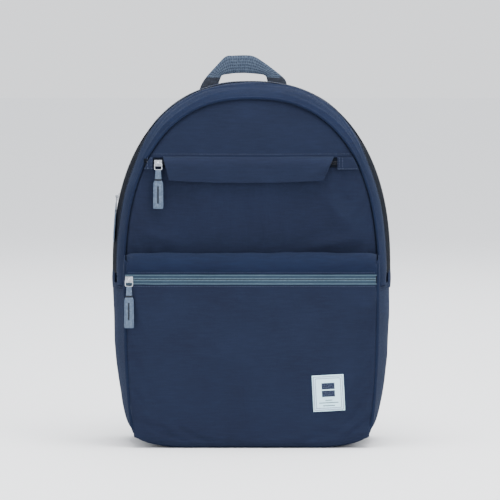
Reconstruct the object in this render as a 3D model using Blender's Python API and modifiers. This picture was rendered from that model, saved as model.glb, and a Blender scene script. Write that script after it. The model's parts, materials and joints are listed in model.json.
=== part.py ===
"""School backpack: shell, hinged front, pockets, zips with sliders, handle and shoulder straps.

Metres, +Z up. The bag stands on z = 0 with its front facing -Y. The origin is at the middle of
the base. Every piece that moves has its origin on the axis of its joint.
"""
import math

import bmesh
import bpy
from mathutils import Matrix, Vector

# Driving dimensions
WALL = 0.0015            # fabric with its lining and seam allowance
GAP = 0.0003             # clearance between pieces that are sewn together
ABOVE_BASE = 0.0024      # lower edge of the walls above the base's underside
BODY_HALF_WIDTH = 0.1660
BODY_CREST = 0.4325
FRONT_HALF_WIDTH = 0.1535
FRONT_CREST = 0.4185
BACK_HALF_WIDTH = 0.1560
BACK_CREST = 0.4240
FRONT_DEPTH = -0.0440    # plane of the upper front panel's edge
ZIP_DEPTH = 0.0123       # middle of the main zip
BACK_DEPTH = 0.0600      # plane of the back panel's edge
POCKET_DEPTH = -0.0765   # plane of the front pocket's face
SPLIT_HEIGHT = 0.2320    # crease where the upper front folds forward
FLOOR_FLAT = 0.0780      # half width of the flat part of the base
CORNER_RISE = 0.0120     # how far the base curves up at its corners
CORNER_HALF_WIDTH = 0.1440

ZIP_GAP = 0.0007         # half the space between the two halves of a zip
TAPE_WIDTH = 0.0056
TAPE_THICKNESS = 0.0008
COIL_RISE = 0.0004

POCKET_ZIP_HEIGHT = 0.2025
POCKET_ZIP_LEFT = -0.1455
POCKET_ZIP_RIGHT = 0.1500
UPPER_ZIP_HEIGHT = 0.3400
UPPER_ZIP_LEFT = -0.1200
UPPER_ZIP_RIGHT = 0.1040
UPPER_ZIP_DEPTH = -0.0489
UPPER_SLOT = 0.0046      # half height of the slot that the upper zip closes

FLAP_TOP = 0.3498
FLAP_BOTTOM = 0.3165
FLAP_DEPTH = -0.0553

SLIDER_LENGTH = 0.0092
SLIDER_WIDTH = 0.0076
SLIDER_PLATE = 0.0009
SLIDER_LIFT = 0.0004     # clearance over the coil
LUG_RADIUS = 0.0018
LUG_THICKNESS = 0.0012
STEM_WIDTH = 0.0030
LUG_BORE = 0.00100
LUG_HEIGHT = 0.0024      # bore axis above the slider's top plate underside
WIRE_RADIUS = 0.0006
RING_HALF_WIDTH = 0.0043
RING_DROP = 0.0078
TAB_NECK_WIDTH = 0.0068
TAB_WIDTH = 0.0114
TAB_THICKNESS = 0.0018
TAB_NECK = 0.0120
TAB_LENGTH = 0.0500

POCKET_SLIDER_X = -0.1463
UPPER_SLIDER_X = -0.1116
MAIN_SLIDER_HEIGHT = 0.2940
MAIN_SLIDER_LIFT = 0.0009    # clearance over the main zip's coil
MAIN_TAB_END = (-0.1657, -0.0115, 0.2420)    # the tab lies on the gusset, in front of the zip
POCKET_TAB_LEAN = math.radians(-2.2)

LABEL_WIDTH = 0.0380
LABEL_HEIGHT = 0.0435
LABEL_AT = (0.0920, 0.0663)
LABEL_TURN = math.radians(3)

HANDLE_MIDDLE = -0.0100
HANDLE_HALF_WIDTH = 0.0535
HANDLE_INNER_HALF_WIDTH = 0.0305
HANDLE_BASE = 0.4199
HANDLE_AXIS = 0.4183
HANDLE_TOP = 0.4617
HANDLE_INNER_TOP = 0.4410
HANDLE_DEPTH = 0.0668
HANDLE_THICKNESS = 0.0025
FOOT_TOP = 0.4158

STRAP_AXIS = (0.0690, 0.3865)    # depth and height of the sewn edge that the strap swings on
STRAP_PAD_THICKNESS = 0.0078
WEBBING_WIDTH = 0.0250
WEBBING_THICKNESS = 0.0012
BUCKLE_WIDTH = 0.0340
BUCKLE_THICKNESS = 0.0034
BUCKLE_AXIS = (0.0772, 0.1320)
BUCKLE_X = 0.0780
BUCKLE_TURN = 0.0036             # radius of the webbing round the buckle's top bar


def section(depth, half_width, crest, spring, power, foot):
    """One cross-section of the bag: straight-ish sides below spring, a rounded arch above it."""
    return {"depth": depth, "half": half_width, "crest": crest,
            "spring": spring, "power": power, "foot": foot}


FRONT = section(FRONT_DEPTH + GAP, FRONT_HALF_WIDTH, FRONT_CREST, 0.200, 2.40, 0.1395)
SWELL = section(-0.0180, 0.1622, 0.4290, 0.205, 2.35, 0.1425)
ZIP_FRONT = section(ZIP_DEPTH - 0.0083, BODY_HALF_WIDTH, BODY_CREST, 0.210, 2.30, CORNER_HALF_WIDTH)
ZIP_REAR = section(ZIP_DEPTH + 0.0086, BODY_HALF_WIDTH, BODY_CREST, 0.210, 2.30, CORNER_HALF_WIDTH)
REAR = section(0.0420, 0.1625, 0.4300, 0.210, 2.30, 0.1430)
BACK = section(BACK_DEPTH - GAP, BACK_HALF_WIDTH, BACK_CREST, 0.212, 2.30, 0.1410)
POCKET = section(POCKET_DEPTH, 0.1530, 0.4000, 0.200, 2.30, 0.1415)


def floor_height(x):
    """Height of the base's underside at a distance x from the middle."""
    beyond = max(0.0, abs(x) - FLOOR_FLAT) / (CORNER_HALF_WIDTH - FLOOR_FLAT)
    return CORNER_RISE * beyond ** 2


def half_at(cut, z):
    """Half width of a cross-section at a height."""
    if z < cut["spring"]:
        below = (cut["spring"] - z) / cut["spring"]
        return cut["half"] - (cut["half"] - cut["foot"]) * below ** 3
    rise = min(1.0, (z - cut["spring"]) / (cut["crest"] - cut["spring"]))
    return cut["half"] * (1.0 - rise ** cut["power"]) ** (1.0 / cut["power"])


def arch(cut, start, count=28):
    """Points (x, z) over the top of a cross-section, from the left at height start to the right."""
    rise = cut["crest"] - cut["spring"]
    first = math.asin(((start - cut["spring"]) / rise) ** (cut["power"] / 2))
    points = []
    for step in range(count + 1):
        angle = first + (math.pi - 2 * first) * step / count
        across = math.copysign(abs(math.cos(angle)) ** (2 / cut["power"]), math.cos(angle))
        up = math.sin(angle) ** (2 / cut["power"])
        points.append((-cut["half"] * across, cut["spring"] + rise * up))
    return points


def outward(points, index):
    """Unit normal of an arch at one of its points, pointing away from the bag."""
    before = points[max(0, index - 1)]
    after = points[min(len(points) - 1, index + 1)]
    run = Vector((after[0] - before[0], 0, after[1] - before[1])).normalized()
    return Vector((-run.z, 0, run.x))


def spread(low, high, count):
    """Evenly spaced values from low to high."""
    return [low + (high - low) * step / count for step in range(count + 1)]


def make_material(name, colour, roughness, metallic=0.0):
    material = bpy.data.materials.new(name)
    material.use_nodes = True
    shader = material.node_tree.nodes["Principled BSDF"]
    shader.inputs["Base Color"].default_value = (*colour, 1.0)
    shader.inputs["Roughness"].default_value = roughness
    shader.inputs["Metallic"].default_value = metallic
    material.diffuse_color = (*colour, 1.0)
    return material


for old in list(bpy.data.objects):
    bpy.data.objects.remove(old)

bag_collection = bpy.data.collections.new("school_backpack")
bpy.context.scene.collection.children.link(bag_collection)
cutters = bpy.data.collections.new("cutters")
bpy.context.scene.collection.children.link(cutters)

navy = make_material("navy_polyester", (0.026, 0.046, 0.100), 0.85)
dark_navy = make_material("dark_navy_lining", (0.014, 0.018, 0.032), 0.85)
tape_blue = make_material("zip_tape", (0.085, 0.135, 0.205), 0.8)
webbing_blue = make_material("ribbed_webbing", (0.125, 0.178, 0.265), 0.8)
coil_dark = make_material("main_zip_tape", (0.010, 0.013, 0.024), 0.6)
foam = make_material("foam", (0.080, 0.085, 0.095), 0.95)
metal = make_material("cast_zinc", (0.75, 0.75, 0.76), 0.25, 1.0)
plastic = make_material("moulded_acetal", (0.018, 0.020, 0.028), 0.45)
label_cloth = make_material("woven_label", (0.74, 0.90, 0.95), 0.7)


def add_object(name, data, material, collection=bag_collection):
    item = bpy.data.objects.new(name, data)
    collection.objects.link(item)
    if not data.materials:
        data.materials.append(material)
    return item


def mesh_of(name, rows):
    """An open sheet through rows of points. Rows that meet in one point are merged there."""
    build = bmesh.new()
    grid = [[build.verts.new(point) for point in row] for row in rows]
    for lower, upper in zip(grid, grid[1:]):
        for left in range(len(lower) - 1):
            build.faces.new((lower[left], lower[left + 1], upper[left + 1], upper[left]))
    bmesh.ops.remove_doubles(build, verts=build.verts[:], dist=0.00001)
    mesh = bpy.data.meshes.new(name)
    build.to_mesh(mesh)
    build.free()
    return mesh


def shell(name, rows, material, thickness=WALL, towards=None, away=None):
    """A sheet given a thickness, grown on the side that faces towards, or away from, a point."""
    mesh = mesh_of(name, rows)
    target = Vector(towards or away)
    facing = sum(face.normal.dot(target - face.center) * face.area for face in mesh.polygons)
    grows_along_normal = (facing > 0) == (towards is not None)
    item = add_object(name, mesh, material)
    solid = item.modifiers.new("thickness", "SOLIDIFY")
    solid.thickness = thickness
    solid.offset = 1.0 if grows_along_normal else -1.0
    return item


def plate(name, outline, depth, thickness, material, holes=()):
    """A flat piece parallel to XZ: its outline in (x, z), its middle plane at depth."""
    curve = bpy.data.curves.new(name, "CURVE")
    curve.dimensions = "2D"
    curve.fill_mode = "BOTH"
    curve.extrude = thickness / 2
    for loop in (outline, *holes):
        spline = curve.splines.new("POLY")
        spline.points.add(len(loop) - 1)
        for point, (x, z) in zip(spline.points, loop):
            point.co = (x, z, 0, 1)
        spline.use_cyclic_u = True
    item = add_object(name, curve, material)
    item.location = (0, depth, 0)
    item.rotation_euler = (math.pi / 2, 0, 0)
    return item


def rounded_box(left, right, bottom, top, radius, steps=3):
    """Outline of a rectangle with rounded corners, anticlockwise."""
    corners = ((right, bottom, -1, 1), (right, top, -1, -1),
               (left, top, 1, -1), (left, bottom, 1, 1))
    points = []
    for number, (x, z, inward_x, inward_z) in enumerate(corners):
        for step in range(steps + 1):
            angle = math.radians(-90 + 90 * number + 90 * step / steps)
            points.append((x + inward_x * radius + radius * math.cos(angle),
                           z + inward_z * radius + radius * math.sin(angle)))
    return points


def tube(name, points, radius, material, closed=False):
    """A round cord or wire through points."""
    curve = bpy.data.curves.new(name, "CURVE")
    curve.dimensions = "3D"
    curve.bevel_depth = radius
    curve.bevel_resolution = 2
    curve.use_fill_caps = not closed
    spline = curve.splines.new("POLY")
    spline.points.add(len(points) - 1)
    for point, place in zip(spline.points, points):
        point.co = (*place, 1)
    spline.use_cyclic_u = closed
    return add_object(name, curve, material)


def as_mesh(item):
    """Replaces a curve by its mesh, with its caps welded, so that it can be cut or joined."""
    bpy.context.view_layer.update()
    graph = bpy.context.evaluated_depsgraph_get()
    mesh = bpy.data.meshes.new_from_object(item.evaluated_get(graph))
    build = bmesh.new()
    build.from_mesh(mesh)
    bmesh.ops.remove_doubles(build, verts=build.verts[:], dist=0.00001)
    build.to_mesh(mesh)
    build.free()
    solid = bpy.data.objects.new(item.name + "_mesh", mesh)
    item.users_collection[0].objects.link(solid)
    solid.matrix_world = item.matrix_world.copy()
    name = item.name
    bpy.data.objects.remove(item)
    solid.name = name
    return solid


def hide_as_cutter(item):
    for collection in item.users_collection:
        collection.objects.unlink(item)
    cutters.objects.link(item)
    item.hide_render = True
    item.display_type = "WIRE"


def combine(base, other, operation):
    """Adds another solid to the base, or cuts it away."""
    hide_as_cutter(other)
    step = base.modifiers.new(operation.lower(), "BOOLEAN")
    step.operation = operation
    step.solver = "EXACT"
    step.object = other


def finished_mesh(base):
    """The mesh of a combined solid. The solid and its cutters are cleared away."""
    bpy.context.view_layer.update()
    evaluated = base.evaluated_get(bpy.context.evaluated_depsgraph_get())
    mesh = bpy.data.meshes.new_from_object(evaluated)
    mesh.transform(base.matrix_world)
    for used in [step.object for step in base.modifiers]:
        bpy.data.objects.remove(used)
    bpy.data.objects.remove(base)
    return mesh


def cylinder(name, radius, length, turn, place, material):
    """A round bar along X, Y or Z, given by the rotation that takes Z there."""
    mesh = bpy.data.meshes.new(name)
    build = bmesh.new()
    bmesh.ops.create_cone(build, cap_ends=True, segments=20, depth=length,
                          radius1=radius, radius2=radius)
    bmesh.ops.transform(build, matrix=Matrix.Translation(place) @ turn, verts=build.verts[:])
    build.to_mesh(mesh)
    build.free()
    return add_object(name, mesh, material)


def block(name, size, place, material, bevel=0.0):
    """A box with rounded edges."""
    mesh = bpy.data.meshes.new(name)
    build = bmesh.new()
    bmesh.ops.create_cube(build, size=1.0)
    bmesh.ops.scale(build, vec=size, verts=build.verts[:])
    bmesh.ops.translate(build, vec=place, verts=build.verts[:])
    if bevel:
        bmesh.ops.bevel(build, geom=build.edges[:], offset=bevel, segments=2,
                        affect="EDGES", profile=0.5)
    build.to_mesh(mesh)
    build.free()
    return add_object(name, mesh, material)


INSIDE = (0.0, 0.0, 0.2000)    # a point in the middle of the bag


# Bag shell
def band(name, cuts, start, material):
    """The arched strip of fabric between the cross-sections, over the top of the bag."""
    rows = []
    for cut in cuts:
        rows.append([Vector((x, cut["depth"], z)) for x, z in arch(cut, start)])
    return shell(name, rows, material, towards=INSIDE)


def side_wall(name, side, cuts, top):
    """One side of the bag below the zip's end, from the front panel to the back panel."""
    rows = []
    for level in spread(0, 1, 8):
        row = []
        for cut in cuts:
            bottom = floor_height(cut["foot"]) + ABOVE_BASE
            z = bottom + (top - bottom) * level
            row.append(Vector((side * half_at(cut, z), cut["depth"], z)))
        rows.append(row)
    return shell(name, rows, navy, towards=INSIDE)


def panel_rows(cut, bottom, top, depth, crown, inset, whole, columns=12, count=6, to_crest=False):
    """Rows of points of a panel that fills a cross-section, crowned by crown at its middle.

    The lowest row follows the curve of the base.
    """
    low, high = whole
    rows = []
    for level in spread(0, 1, count):
        if to_crest:
            level = math.sin(level * math.pi / 2)
        z = bottom + (top - bottom) * level
        half = max(0.0, half_at(cut, min(z, cut["crest"])) - inset)
        if to_crest and level == 1:
            half = 0.0
        tall = abs((z - (low + high) / 2) / ((high - low) / 2))
        row = []
        for across in spread(-1, 1, columns):
            lift = crown * (1 - abs(across) ** 3) * (1 - min(1.0, tall) ** 3)
            raised = floor_height(across * half) if z < CORNER_RISE else 0.0
            row.append(Vector((across * half, depth + lift, z + raised)))
        rows.append(row)
    return rows


ALL_CUTS = (FRONT, SWELL, ZIP_FRONT, ZIP_REAR, REAR, BACK)
for side_name, side in (("left", -1), ("right", 1)):
    side_wall("side_panel_" + side_name, side, ALL_CUTS, SPLIT_HEIGHT - GAP)

band("rear_gusset", (ZIP_REAR, REAR, BACK), SPLIT_HEIGHT, navy)
band("front_gusset", (FRONT, SWELL, ZIP_FRONT), SPLIT_HEIGHT + 2 * GAP, navy)

BASE_HALF = CORNER_HALF_WIDTH - 0.0030
BASE_FRONT = POCKET_DEPTH + 0.0028
base_rows = []
for y in (BASE_FRONT, FRONT_DEPTH, ZIP_DEPTH, BACK_DEPTH - GAP):
    base_rows.append([Vector((x, y, floor_height(x))) for x in spread(-BASE_HALF, BASE_HALF, 20)])
shell("bottom_panel", base_rows, navy, towards=INSIDE)

PANEL_INSET = 0.0006
PANEL_FOOT = 0.0155
PANEL_BASE_HALF = 0.9 * BASE_HALF
panel_heights = spread(PANEL_FOOT, SPLIT_HEIGHT - GAP, 8)
lower_outline = [(PANEL_INSET - half_at(FRONT, z), z) for z in reversed(panel_heights)]
for x in spread(-PANEL_BASE_HALF, PANEL_BASE_HALF, 18):
    lower_outline.append((x, floor_height(x) + ABOVE_BASE))
lower_outline += [(half_at(FRONT, z) - PANEL_INSET, z) for z in panel_heights]
plate("front_panel_lower", lower_outline, FRONT_DEPTH - WALL / 2, WALL, navy)

FRONT_CROWN = -0.0030
WHOLE_FRONT = (SPLIT_HEIGHT, FRONT_CREST)
upper_rows = panel_rows(FRONT, SPLIT_HEIGHT + 2 * GAP, UPPER_ZIP_HEIGHT - UPPER_SLOT, FRONT_DEPTH,
                        FRONT_CROWN, PANEL_INSET, WHOLE_FRONT)
shell("front_panel_upper", upper_rows, navy, away=INSIDE)
yoke_rows = panel_rows(FRONT, UPPER_ZIP_HEIGHT + UPPER_SLOT, FRONT_CREST - PANEL_INSET, FRONT_DEPTH,
                       FRONT_CROWN, PANEL_INSET, WHOLE_FRONT, to_crest=True)
shell("front_yoke", yoke_rows, navy, away=INSIDE)

BACK_CROWN = 0.0035
PANEL_HEM = 0.0010       # lower edge of the front and back panels above the base's underside
back_rows = panel_rows(BACK, PANEL_HEM, BACK_CREST - PANEL_INSET, BACK_DEPTH, BACK_CROWN,
                       PANEL_INSET, (0.0, BACK_CREST), count=12, to_crest=True)
shell("back_panel", back_rows, navy, away=INSIDE)

PADDING_INSET = 0.0070
PADDING_DEPTH = 0.0550
PADDING_THICKNESS = 0.0050
padding_cut = dict(BACK, half=BACK["half"] - PADDING_INSET, crest=BACK["crest"] - PADDING_INSET)
padding_heights = spread(0.0160, 0.2000, 6)
padding_outline = arch(padding_cut, padding_cut["spring"] + 0.001, 24)
padding_outline += [(half_at(padding_cut, z), z) for z in reversed(padding_heights)]
padding_outline += [(-half_at(padding_cut, z), z) for z in padding_heights]
plate("back_padding", padding_outline, PADDING_DEPTH, PADDING_THICKNESS, foam)

SLEEVE_HALF_WIDTH = 0.1290
SLEEVE_BOTTOM = 0.0120
SLEEVE_TOP = 0.2900
SLEEVE_CORNER = 0.0120
SLEEVE_DEPTH = 0.0310
SLEEVE_THICKNESS = 0.0030
BINDING_HALF_WIDTH = 0.1150
BINDING_RADIUS = 0.0020
sleeve_outline = rounded_box(-SLEEVE_HALF_WIDTH, SLEEVE_HALF_WIDTH, SLEEVE_BOTTOM, SLEEVE_TOP, SLEEVE_CORNER)
plate("laptop_sleeve", sleeve_outline, SLEEVE_DEPTH, SLEEVE_THICKNESS, dark_navy)
binding_line = []
for x in spread(-BINDING_HALF_WIDTH, BINDING_HALF_WIDTH, 8):
    binding_line.append((x, SLEEVE_DEPTH, SLEEVE_TOP + BINDING_RADIUS + 0.0005))
tube("sleeve_binding", binding_line, BINDING_RADIUS, webbing_blue)


def seam_cord(name, cut, start, lift, depth, radius, material, foot=None):
    """Piping that follows the rim of a cross-section, a little outside it."""
    over = arch(cut, start, 36)
    points = []
    for index, (x, z) in enumerate(over):
        points.append(Vector((x, depth, z)) + outward(over, index) * lift)
    if foot is not None:
        levels = spread(foot, start - 0.012, 8)
        left = [Vector((-half_at(cut, z) - lift, depth, z)) for z in levels]
        right = [Vector((half_at(cut, z) + lift, depth, z)) for z in reversed(levels)]
        points = left + points + right
    return tube(name, points, radius, material)


PIPING_RADIUS = 0.0010
PIPING_LIFT = 0.0014
PIPING_PROUD = 0.0012
seam_cord("front_piping", FRONT, SPLIT_HEIGHT + 0.0014, PIPING_LIFT, FRONT_DEPTH - PIPING_PROUD,
          PIPING_RADIUS, navy)
seam_cord("back_piping", BACK, 0.2180, PIPING_LIFT, BACK_DEPTH + PIPING_PROUD,
          PIPING_RADIUS, navy, foot=0.0150)


# Front pocket
POCKET_FACE_TOP = POCKET_ZIP_HEIGHT - ZIP_GAP - TAPE_WIDTH - GAP
POCKET_CROWN = -0.0030
pocket_rows = panel_rows(POCKET, PANEL_HEM, POCKET_FACE_TOP, POCKET_DEPTH, POCKET_CROWN, 0.0,
                         (0.0, POCKET_FACE_TOP), count=9)
shell("pocket_face", pocket_rows, navy, away=INSIDE)

STRIP_BOTTOM = POCKET_ZIP_HEIGHT + ZIP_GAP + TAPE_WIDTH + GAP
STRIP_TOP = SPLIT_HEIGHT - 2 * GAP
STRIP_PUFF = 0.0030
STRIP_HALF_WIDTH = 0.1508
STRIP_REAR = FRONT_DEPTH - 2 * WALL - 2 * GAP
strip_rows = []
for along in spread(0, 1, 6):
    y = POCKET_DEPTH + (STRIP_REAR - POCKET_DEPTH) * along
    z = STRIP_BOTTOM + (STRIP_TOP - STRIP_BOTTOM) * along + STRIP_PUFF * math.sin(math.pi * along)
    strip_rows.append([Vector((x, y, z)) for x in spread(-STRIP_HALF_WIDTH, STRIP_HALF_WIDTH, 10)])
shell("pocket_top_strip", strip_rows, navy, towards=INSIDE)

SIDE_BOTTOM = floor_height(POCKET["foot"]) + ABOVE_BASE
SIDE_RUN = FRONT_DEPTH - WALL - 2 * GAP - POCKET_DEPTH
for side_name, side in (("left", -1), ("right", 1)):
    rows = []
    for level in spread(0, 1, 8):
        row = []
        for along in spread(0, 1, 3):
            top = STRIP_BOTTOM - GAP + (STRIP_TOP - STRIP_BOTTOM) * along
            z = SIDE_BOTTOM + (top - SIDE_BOTTOM) * level
            front_half = half_at(POCKET, z)
            half = front_half + (half_at(FRONT, z) - front_half) * along
            row.append(Vector((side * half, POCKET_DEPTH + GAP + SIDE_RUN * along, z)))
        rows.append(row)
    shell("pocket_side_" + side_name, rows, navy, towards=INSIDE)


def flat_zip(name, left, right, height, side, depth, material):
    """One half of a straight zip: its tape, with the edge that carries the coil standing proud."""
    inner = height + side * ZIP_GAP
    steps = ((0.0, COIL_RISE), (0.0016, COIL_RISE), (0.0020, 0.0), (TAPE_WIDTH, 0.0))
    rows = []
    for x in spread(left, right, 12):
        rows.append([Vector((x, depth - rise, inner + side * across)) for across, rise in steps])
    return shell(name, rows, material, thickness=TAPE_THICKNESS, away=INSIDE)


for name, side in (("pocket_zip_upper_half", 1), ("pocket_zip_lower_half", -1)):
    flat_zip(name, POCKET_ZIP_LEFT, POCKET_ZIP_RIGHT, POCKET_ZIP_HEIGHT, side, POCKET_DEPTH, tape_blue)
for name, side in (("upper_zip_upper_half", 1), ("upper_zip_lower_half", -1)):
    flat_zip(name, UPPER_ZIP_LEFT, UPPER_ZIP_RIGHT, UPPER_ZIP_HEIGHT, side, UPPER_ZIP_DEPTH, dark_navy)

LABEL_DEPTH = -0.0815
LABEL_THICKNESS = 0.0008
label_outline = rounded_box(-LABEL_WIDTH / 2, LABEL_WIDTH / 2, -LABEL_HEIGHT / 2, LABEL_HEIGHT / 2,
                            0.0010, 2)
label = plate("label_patch", label_outline, LABEL_DEPTH, LABEL_THICKNESS, label_cloth)
label.location = (LABEL_AT[0], LABEL_DEPTH, LABEL_AT[1])
label.rotation_euler = (math.pi / 2, -LABEL_TURN, 0)


# Upper pocket: end tabs, pouch and flap
TAB_DEPTH = UPPER_ZIP_DEPTH - TAPE_THICKNESS - COIL_RISE - GAP - 0.0005
TAB_BOTTOM = 0.3350
TAB_TOP = 0.3460
END_TAB_THICKNESS = 0.0010
for side_name, low, high in (("left", -0.1275, -0.1190), ("right", 0.1015, 0.1270)):
    tab_outline = rounded_box(low, high, TAB_BOTTOM, TAB_TOP, 0.0008, 2)
    plate("upper_zip_tab_" + side_name, tab_outline, TAB_DEPTH, END_TAB_THICKNESS, navy)

POUCH_DEPTH = FRONT_DEPTH + 0.0075
POUCH_HALF_WIDTH = 0.1080
POUCH_WALL = 0.0010
pouch_profile = (
    (FRONT_DEPTH + GAP, 0.3440),
    (POUCH_DEPTH, 0.3400),
    (POUCH_DEPTH, 0.2500),
    (FRONT_DEPTH + GAP, 0.2460),
)
pouch_rows = []
for y, z in pouch_profile:
    pouch_rows.append([Vector((x, y, z)) for x in spread(-POUCH_HALF_WIDTH, POUCH_HALF_WIDTH, 6)])
shell("upper_pocket_pouch", pouch_rows, dark_navy, thickness=POUCH_WALL, towards=INSIDE)

FLAP_HALF_TOP = 0.1035
FLAP_HALF_BOTTOM = 0.0945
FLAP_WALL = 0.0012
flap_profile = (
    (UPPER_ZIP_DEPTH - 0.0024, FLAP_TOP - 0.0003),
    (FLAP_DEPTH + 0.0008, FLAP_TOP - 0.0026),
    (FLAP_DEPTH, FLAP_TOP - 0.0060),
    (FLAP_DEPTH - 0.0004, 0.3330),
    (FLAP_DEPTH, FLAP_BOTTOM),
)
flap_rows = []
for y, z in flap_profile:
    share = (z - FLAP_BOTTOM) / (FLAP_TOP - FLAP_BOTTOM)
    half = FLAP_HALF_BOTTOM + (FLAP_HALF_TOP - FLAP_HALF_BOTTOM) * share
    flap_rows.append([Vector((x, y, z)) for x in spread(-half, half, 10)])
shell("zip_flap", flap_rows, navy, thickness=FLAP_WALL, away=INSIDE)


# Main zip over the arch
MAIN_COIL_RISE = 0.0012
MAIN_ZIP_STEPS = ((0.0, MAIN_COIL_RISE), (0.0018, MAIN_COIL_RISE), (0.0022, 0.0), (0.0072, 0.0))


def arch_zip(name, side, start):
    """One half of the zip that runs over the top of the bag."""
    path = arch(ZIP_FRONT, start, 40)
    rows = []
    for index, (x, z) in enumerate(path):
        normal = outward(path, index)
        row = []
        for across, rise in MAIN_ZIP_STEPS:
            row.append(Vector((x, ZIP_DEPTH + side * (ZIP_GAP + across), z)) + normal * rise)
        rows.append(row)
    return shell(name, rows, coil_dark, thickness=TAPE_THICKNESS, towards=INSIDE)


arch_zip("main_zip_front_half", -1, SPLIT_HEIGHT + 2 * GAP)
arch_zip("main_zip_rear_half", 1, SPLIT_HEIGHT)

ZIP_END_BOTTOM = 0.1900
ZIP_END_HALF_WIDTH = 0.0075
ZIP_END_THICKNESS = 0.0007
for side_name, side in (("left", -1), ("right", 1)):
    rows = []
    for z in spread(ZIP_END_BOTTOM, SPLIT_HEIGHT - GAP, 4):
        x = side * (half_at(ZIP_FRONT, z) + GAP)
        rows.append([Vector((x, ZIP_DEPTH + edge * ZIP_END_HALF_WIDTH, z)) for edge in (-1, 1)])
    shell("main_zip_end_" + side_name, rows, coil_dark, thickness=ZIP_END_THICKNESS, away=INSIDE)


# Sliders, rings and pull tabs
ALONG_X = Matrix.Rotation(math.pi / 2, 4, "Y")
ALONG_Y = Matrix.Rotation(math.pi / 2, 4, "X")
FLAT_ZIP_STACK = TAPE_THICKNESS + COIL_RISE + 2 * SLIDER_LIFT


def slider_mesh(name, wraps, bore_turn):
    """A slider lying on the zip: X along the zip, Z away from it, underside of its top plate at 0."""
    base = block(name, (SLIDER_LENGTH, SLIDER_WIDTH, SLIDER_PLATE), (0, 0, SLIDER_PLATE / 2), metal,
                 bevel=0.0003)
    lug = cylinder(name + "_lug", LUG_RADIUS, LUG_THICKNESS, bore_turn, (0, 0, LUG_HEIGHT), metal)
    combine(base, lug, "UNION")
    stem_size = (STEM_WIDTH, LUG_THICKNESS, LUG_HEIGHT)
    if bore_turn is ALONG_X:
        stem_size = (LUG_THICKNESS, STEM_WIDTH, LUG_HEIGHT)
    stem = block(name + "_stem", stem_size, (0, 0, LUG_HEIGHT / 2 + 0.0002), metal)
    combine(base, stem, "UNION")
    if wraps:
        lower = block(name + "_wing", (SLIDER_LENGTH * 0.8, SLIDER_WIDTH, SLIDER_PLATE),
                      (0.0004, 0, -FLAT_ZIP_STACK - SLIDER_PLATE / 2), metal, bevel=0.0002)
        combine(base, lower, "UNION")
        wedge = block(name + "_wedge", (0.0030, 0.0007, FLAT_ZIP_STACK + SLIDER_PLATE),
                      (0.0020, 0, -FLAT_ZIP_STACK / 2), metal)
        combine(base, wedge, "UNION")
    bore = cylinder(name + "_bore", LUG_BORE, 0.0080, bore_turn, (0, 0, LUG_HEIGHT), metal)
    combine(base, bore, "DIFFERENCE")
    return finished_mesh(base)


def ring_mesh(name):
    """A wire ring hanging from the origin, its top bar along X."""
    bottom = rounded_box(-RING_HALF_WIDTH, RING_HALF_WIDTH, -RING_DROP, 0.0, 0.0014, 3)
    wire = tube(name, [(x, 0, z) for x, z in bottom], WIRE_RADIUS, metal, closed=True)
    mesh = as_mesh(wire)
    data = mesh.data
    bpy.data.objects.remove(mesh)
    return data


def tab_mesh(name):
    """A folded webbing pull hanging from the origin, which is the ring's bottom bar, along X."""
    eye_wall = 0.0009
    eye_bore = WIRE_RADIUS + 0.00035
    eye = eye_bore + eye_wall
    meet = math.asin(TAB_THICKNESS / 2 / eye)
    outline = []
    for angle in spread(meet - math.pi / 2, 3 * math.pi / 2 - meet, 14):
        outline.append((eye * math.cos(angle), eye * math.sin(angle)))
    outline += [(-TAB_THICKNESS / 2, -TAB_NECK), (TAB_THICKNESS / 2, -TAB_NECK)]
    bore = []
    for step in range(12):
        angle = 2 * math.pi * step / 12
        bore.append((eye_bore * math.cos(angle), eye_bore * math.sin(angle)))
    neck = plate(name, outline, 0, TAB_NECK_WIDTH, webbing_blue, holes=[bore])
    neck.rotation_euler = (math.pi / 2, 0, math.pi / 2)
    neck.location = (0, 0, 0)
    neck = as_mesh(neck)
    blade_length = TAB_LENGTH - TAB_NECK
    blade = block(name + "_blade", (TAB_WIDTH, TAB_THICKNESS * 1.12, blade_length),
                  (0, 0, -TAB_NECK - blade_length / 2 + 0.0010), webbing_blue, bevel=0.0004)
    combine(neck, blade, "UNION")
    return finished_mesh(neck)


wrapped_slider = slider_mesh("wrapped_slider", True, ALONG_X)
open_slider = slider_mesh("open_slider", False, ALONG_Y)
pull_ring = ring_mesh("pull_ring")
pull_tab = tab_mesh("pull_tab")


def place_pull(prefix, slider, slider_pose, hang_pose):
    """A slider, its ring and its tab. The ring's origin is in the lug's bore, the tab's on the ring."""
    body = add_object(prefix + "_slider", slider.copy(), metal)
    body.matrix_world = slider_pose
    hook = slider_pose @ Vector((0, 0, LUG_HEIGHT))
    ring = add_object(prefix + "_pull_ring", pull_ring.copy(), metal)
    ring.matrix_world = Matrix.Translation(hook) @ hang_pose
    tab = add_object(prefix + "_pull_tab", pull_tab.copy(), webbing_blue)
    tab.matrix_world = ring.matrix_world @ Matrix.Translation((0, 0, -RING_DROP))


FACING_FRONT = Matrix.Rotation(math.pi / 2, 4, "X")
flat_lift = COIL_RISE + TAPE_THICKNESS + SLIDER_LIFT
pocket_at = (POCKET_SLIDER_X, POCKET_DEPTH - flat_lift, POCKET_ZIP_HEIGHT)
upper_at = (UPPER_SLIDER_X, UPPER_ZIP_DEPTH - flat_lift, UPPER_ZIP_HEIGHT)
pocket_hang = Matrix.Rotation(POCKET_TAB_LEAN, 4, "X")
place_pull("pocket", wrapped_slider, Matrix.Translation(pocket_at) @ FACING_FRONT, pocket_hang)
place_pull("upper", wrapped_slider, Matrix.Translation(upper_at) @ FACING_FRONT, Matrix.Identity(4))


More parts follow.
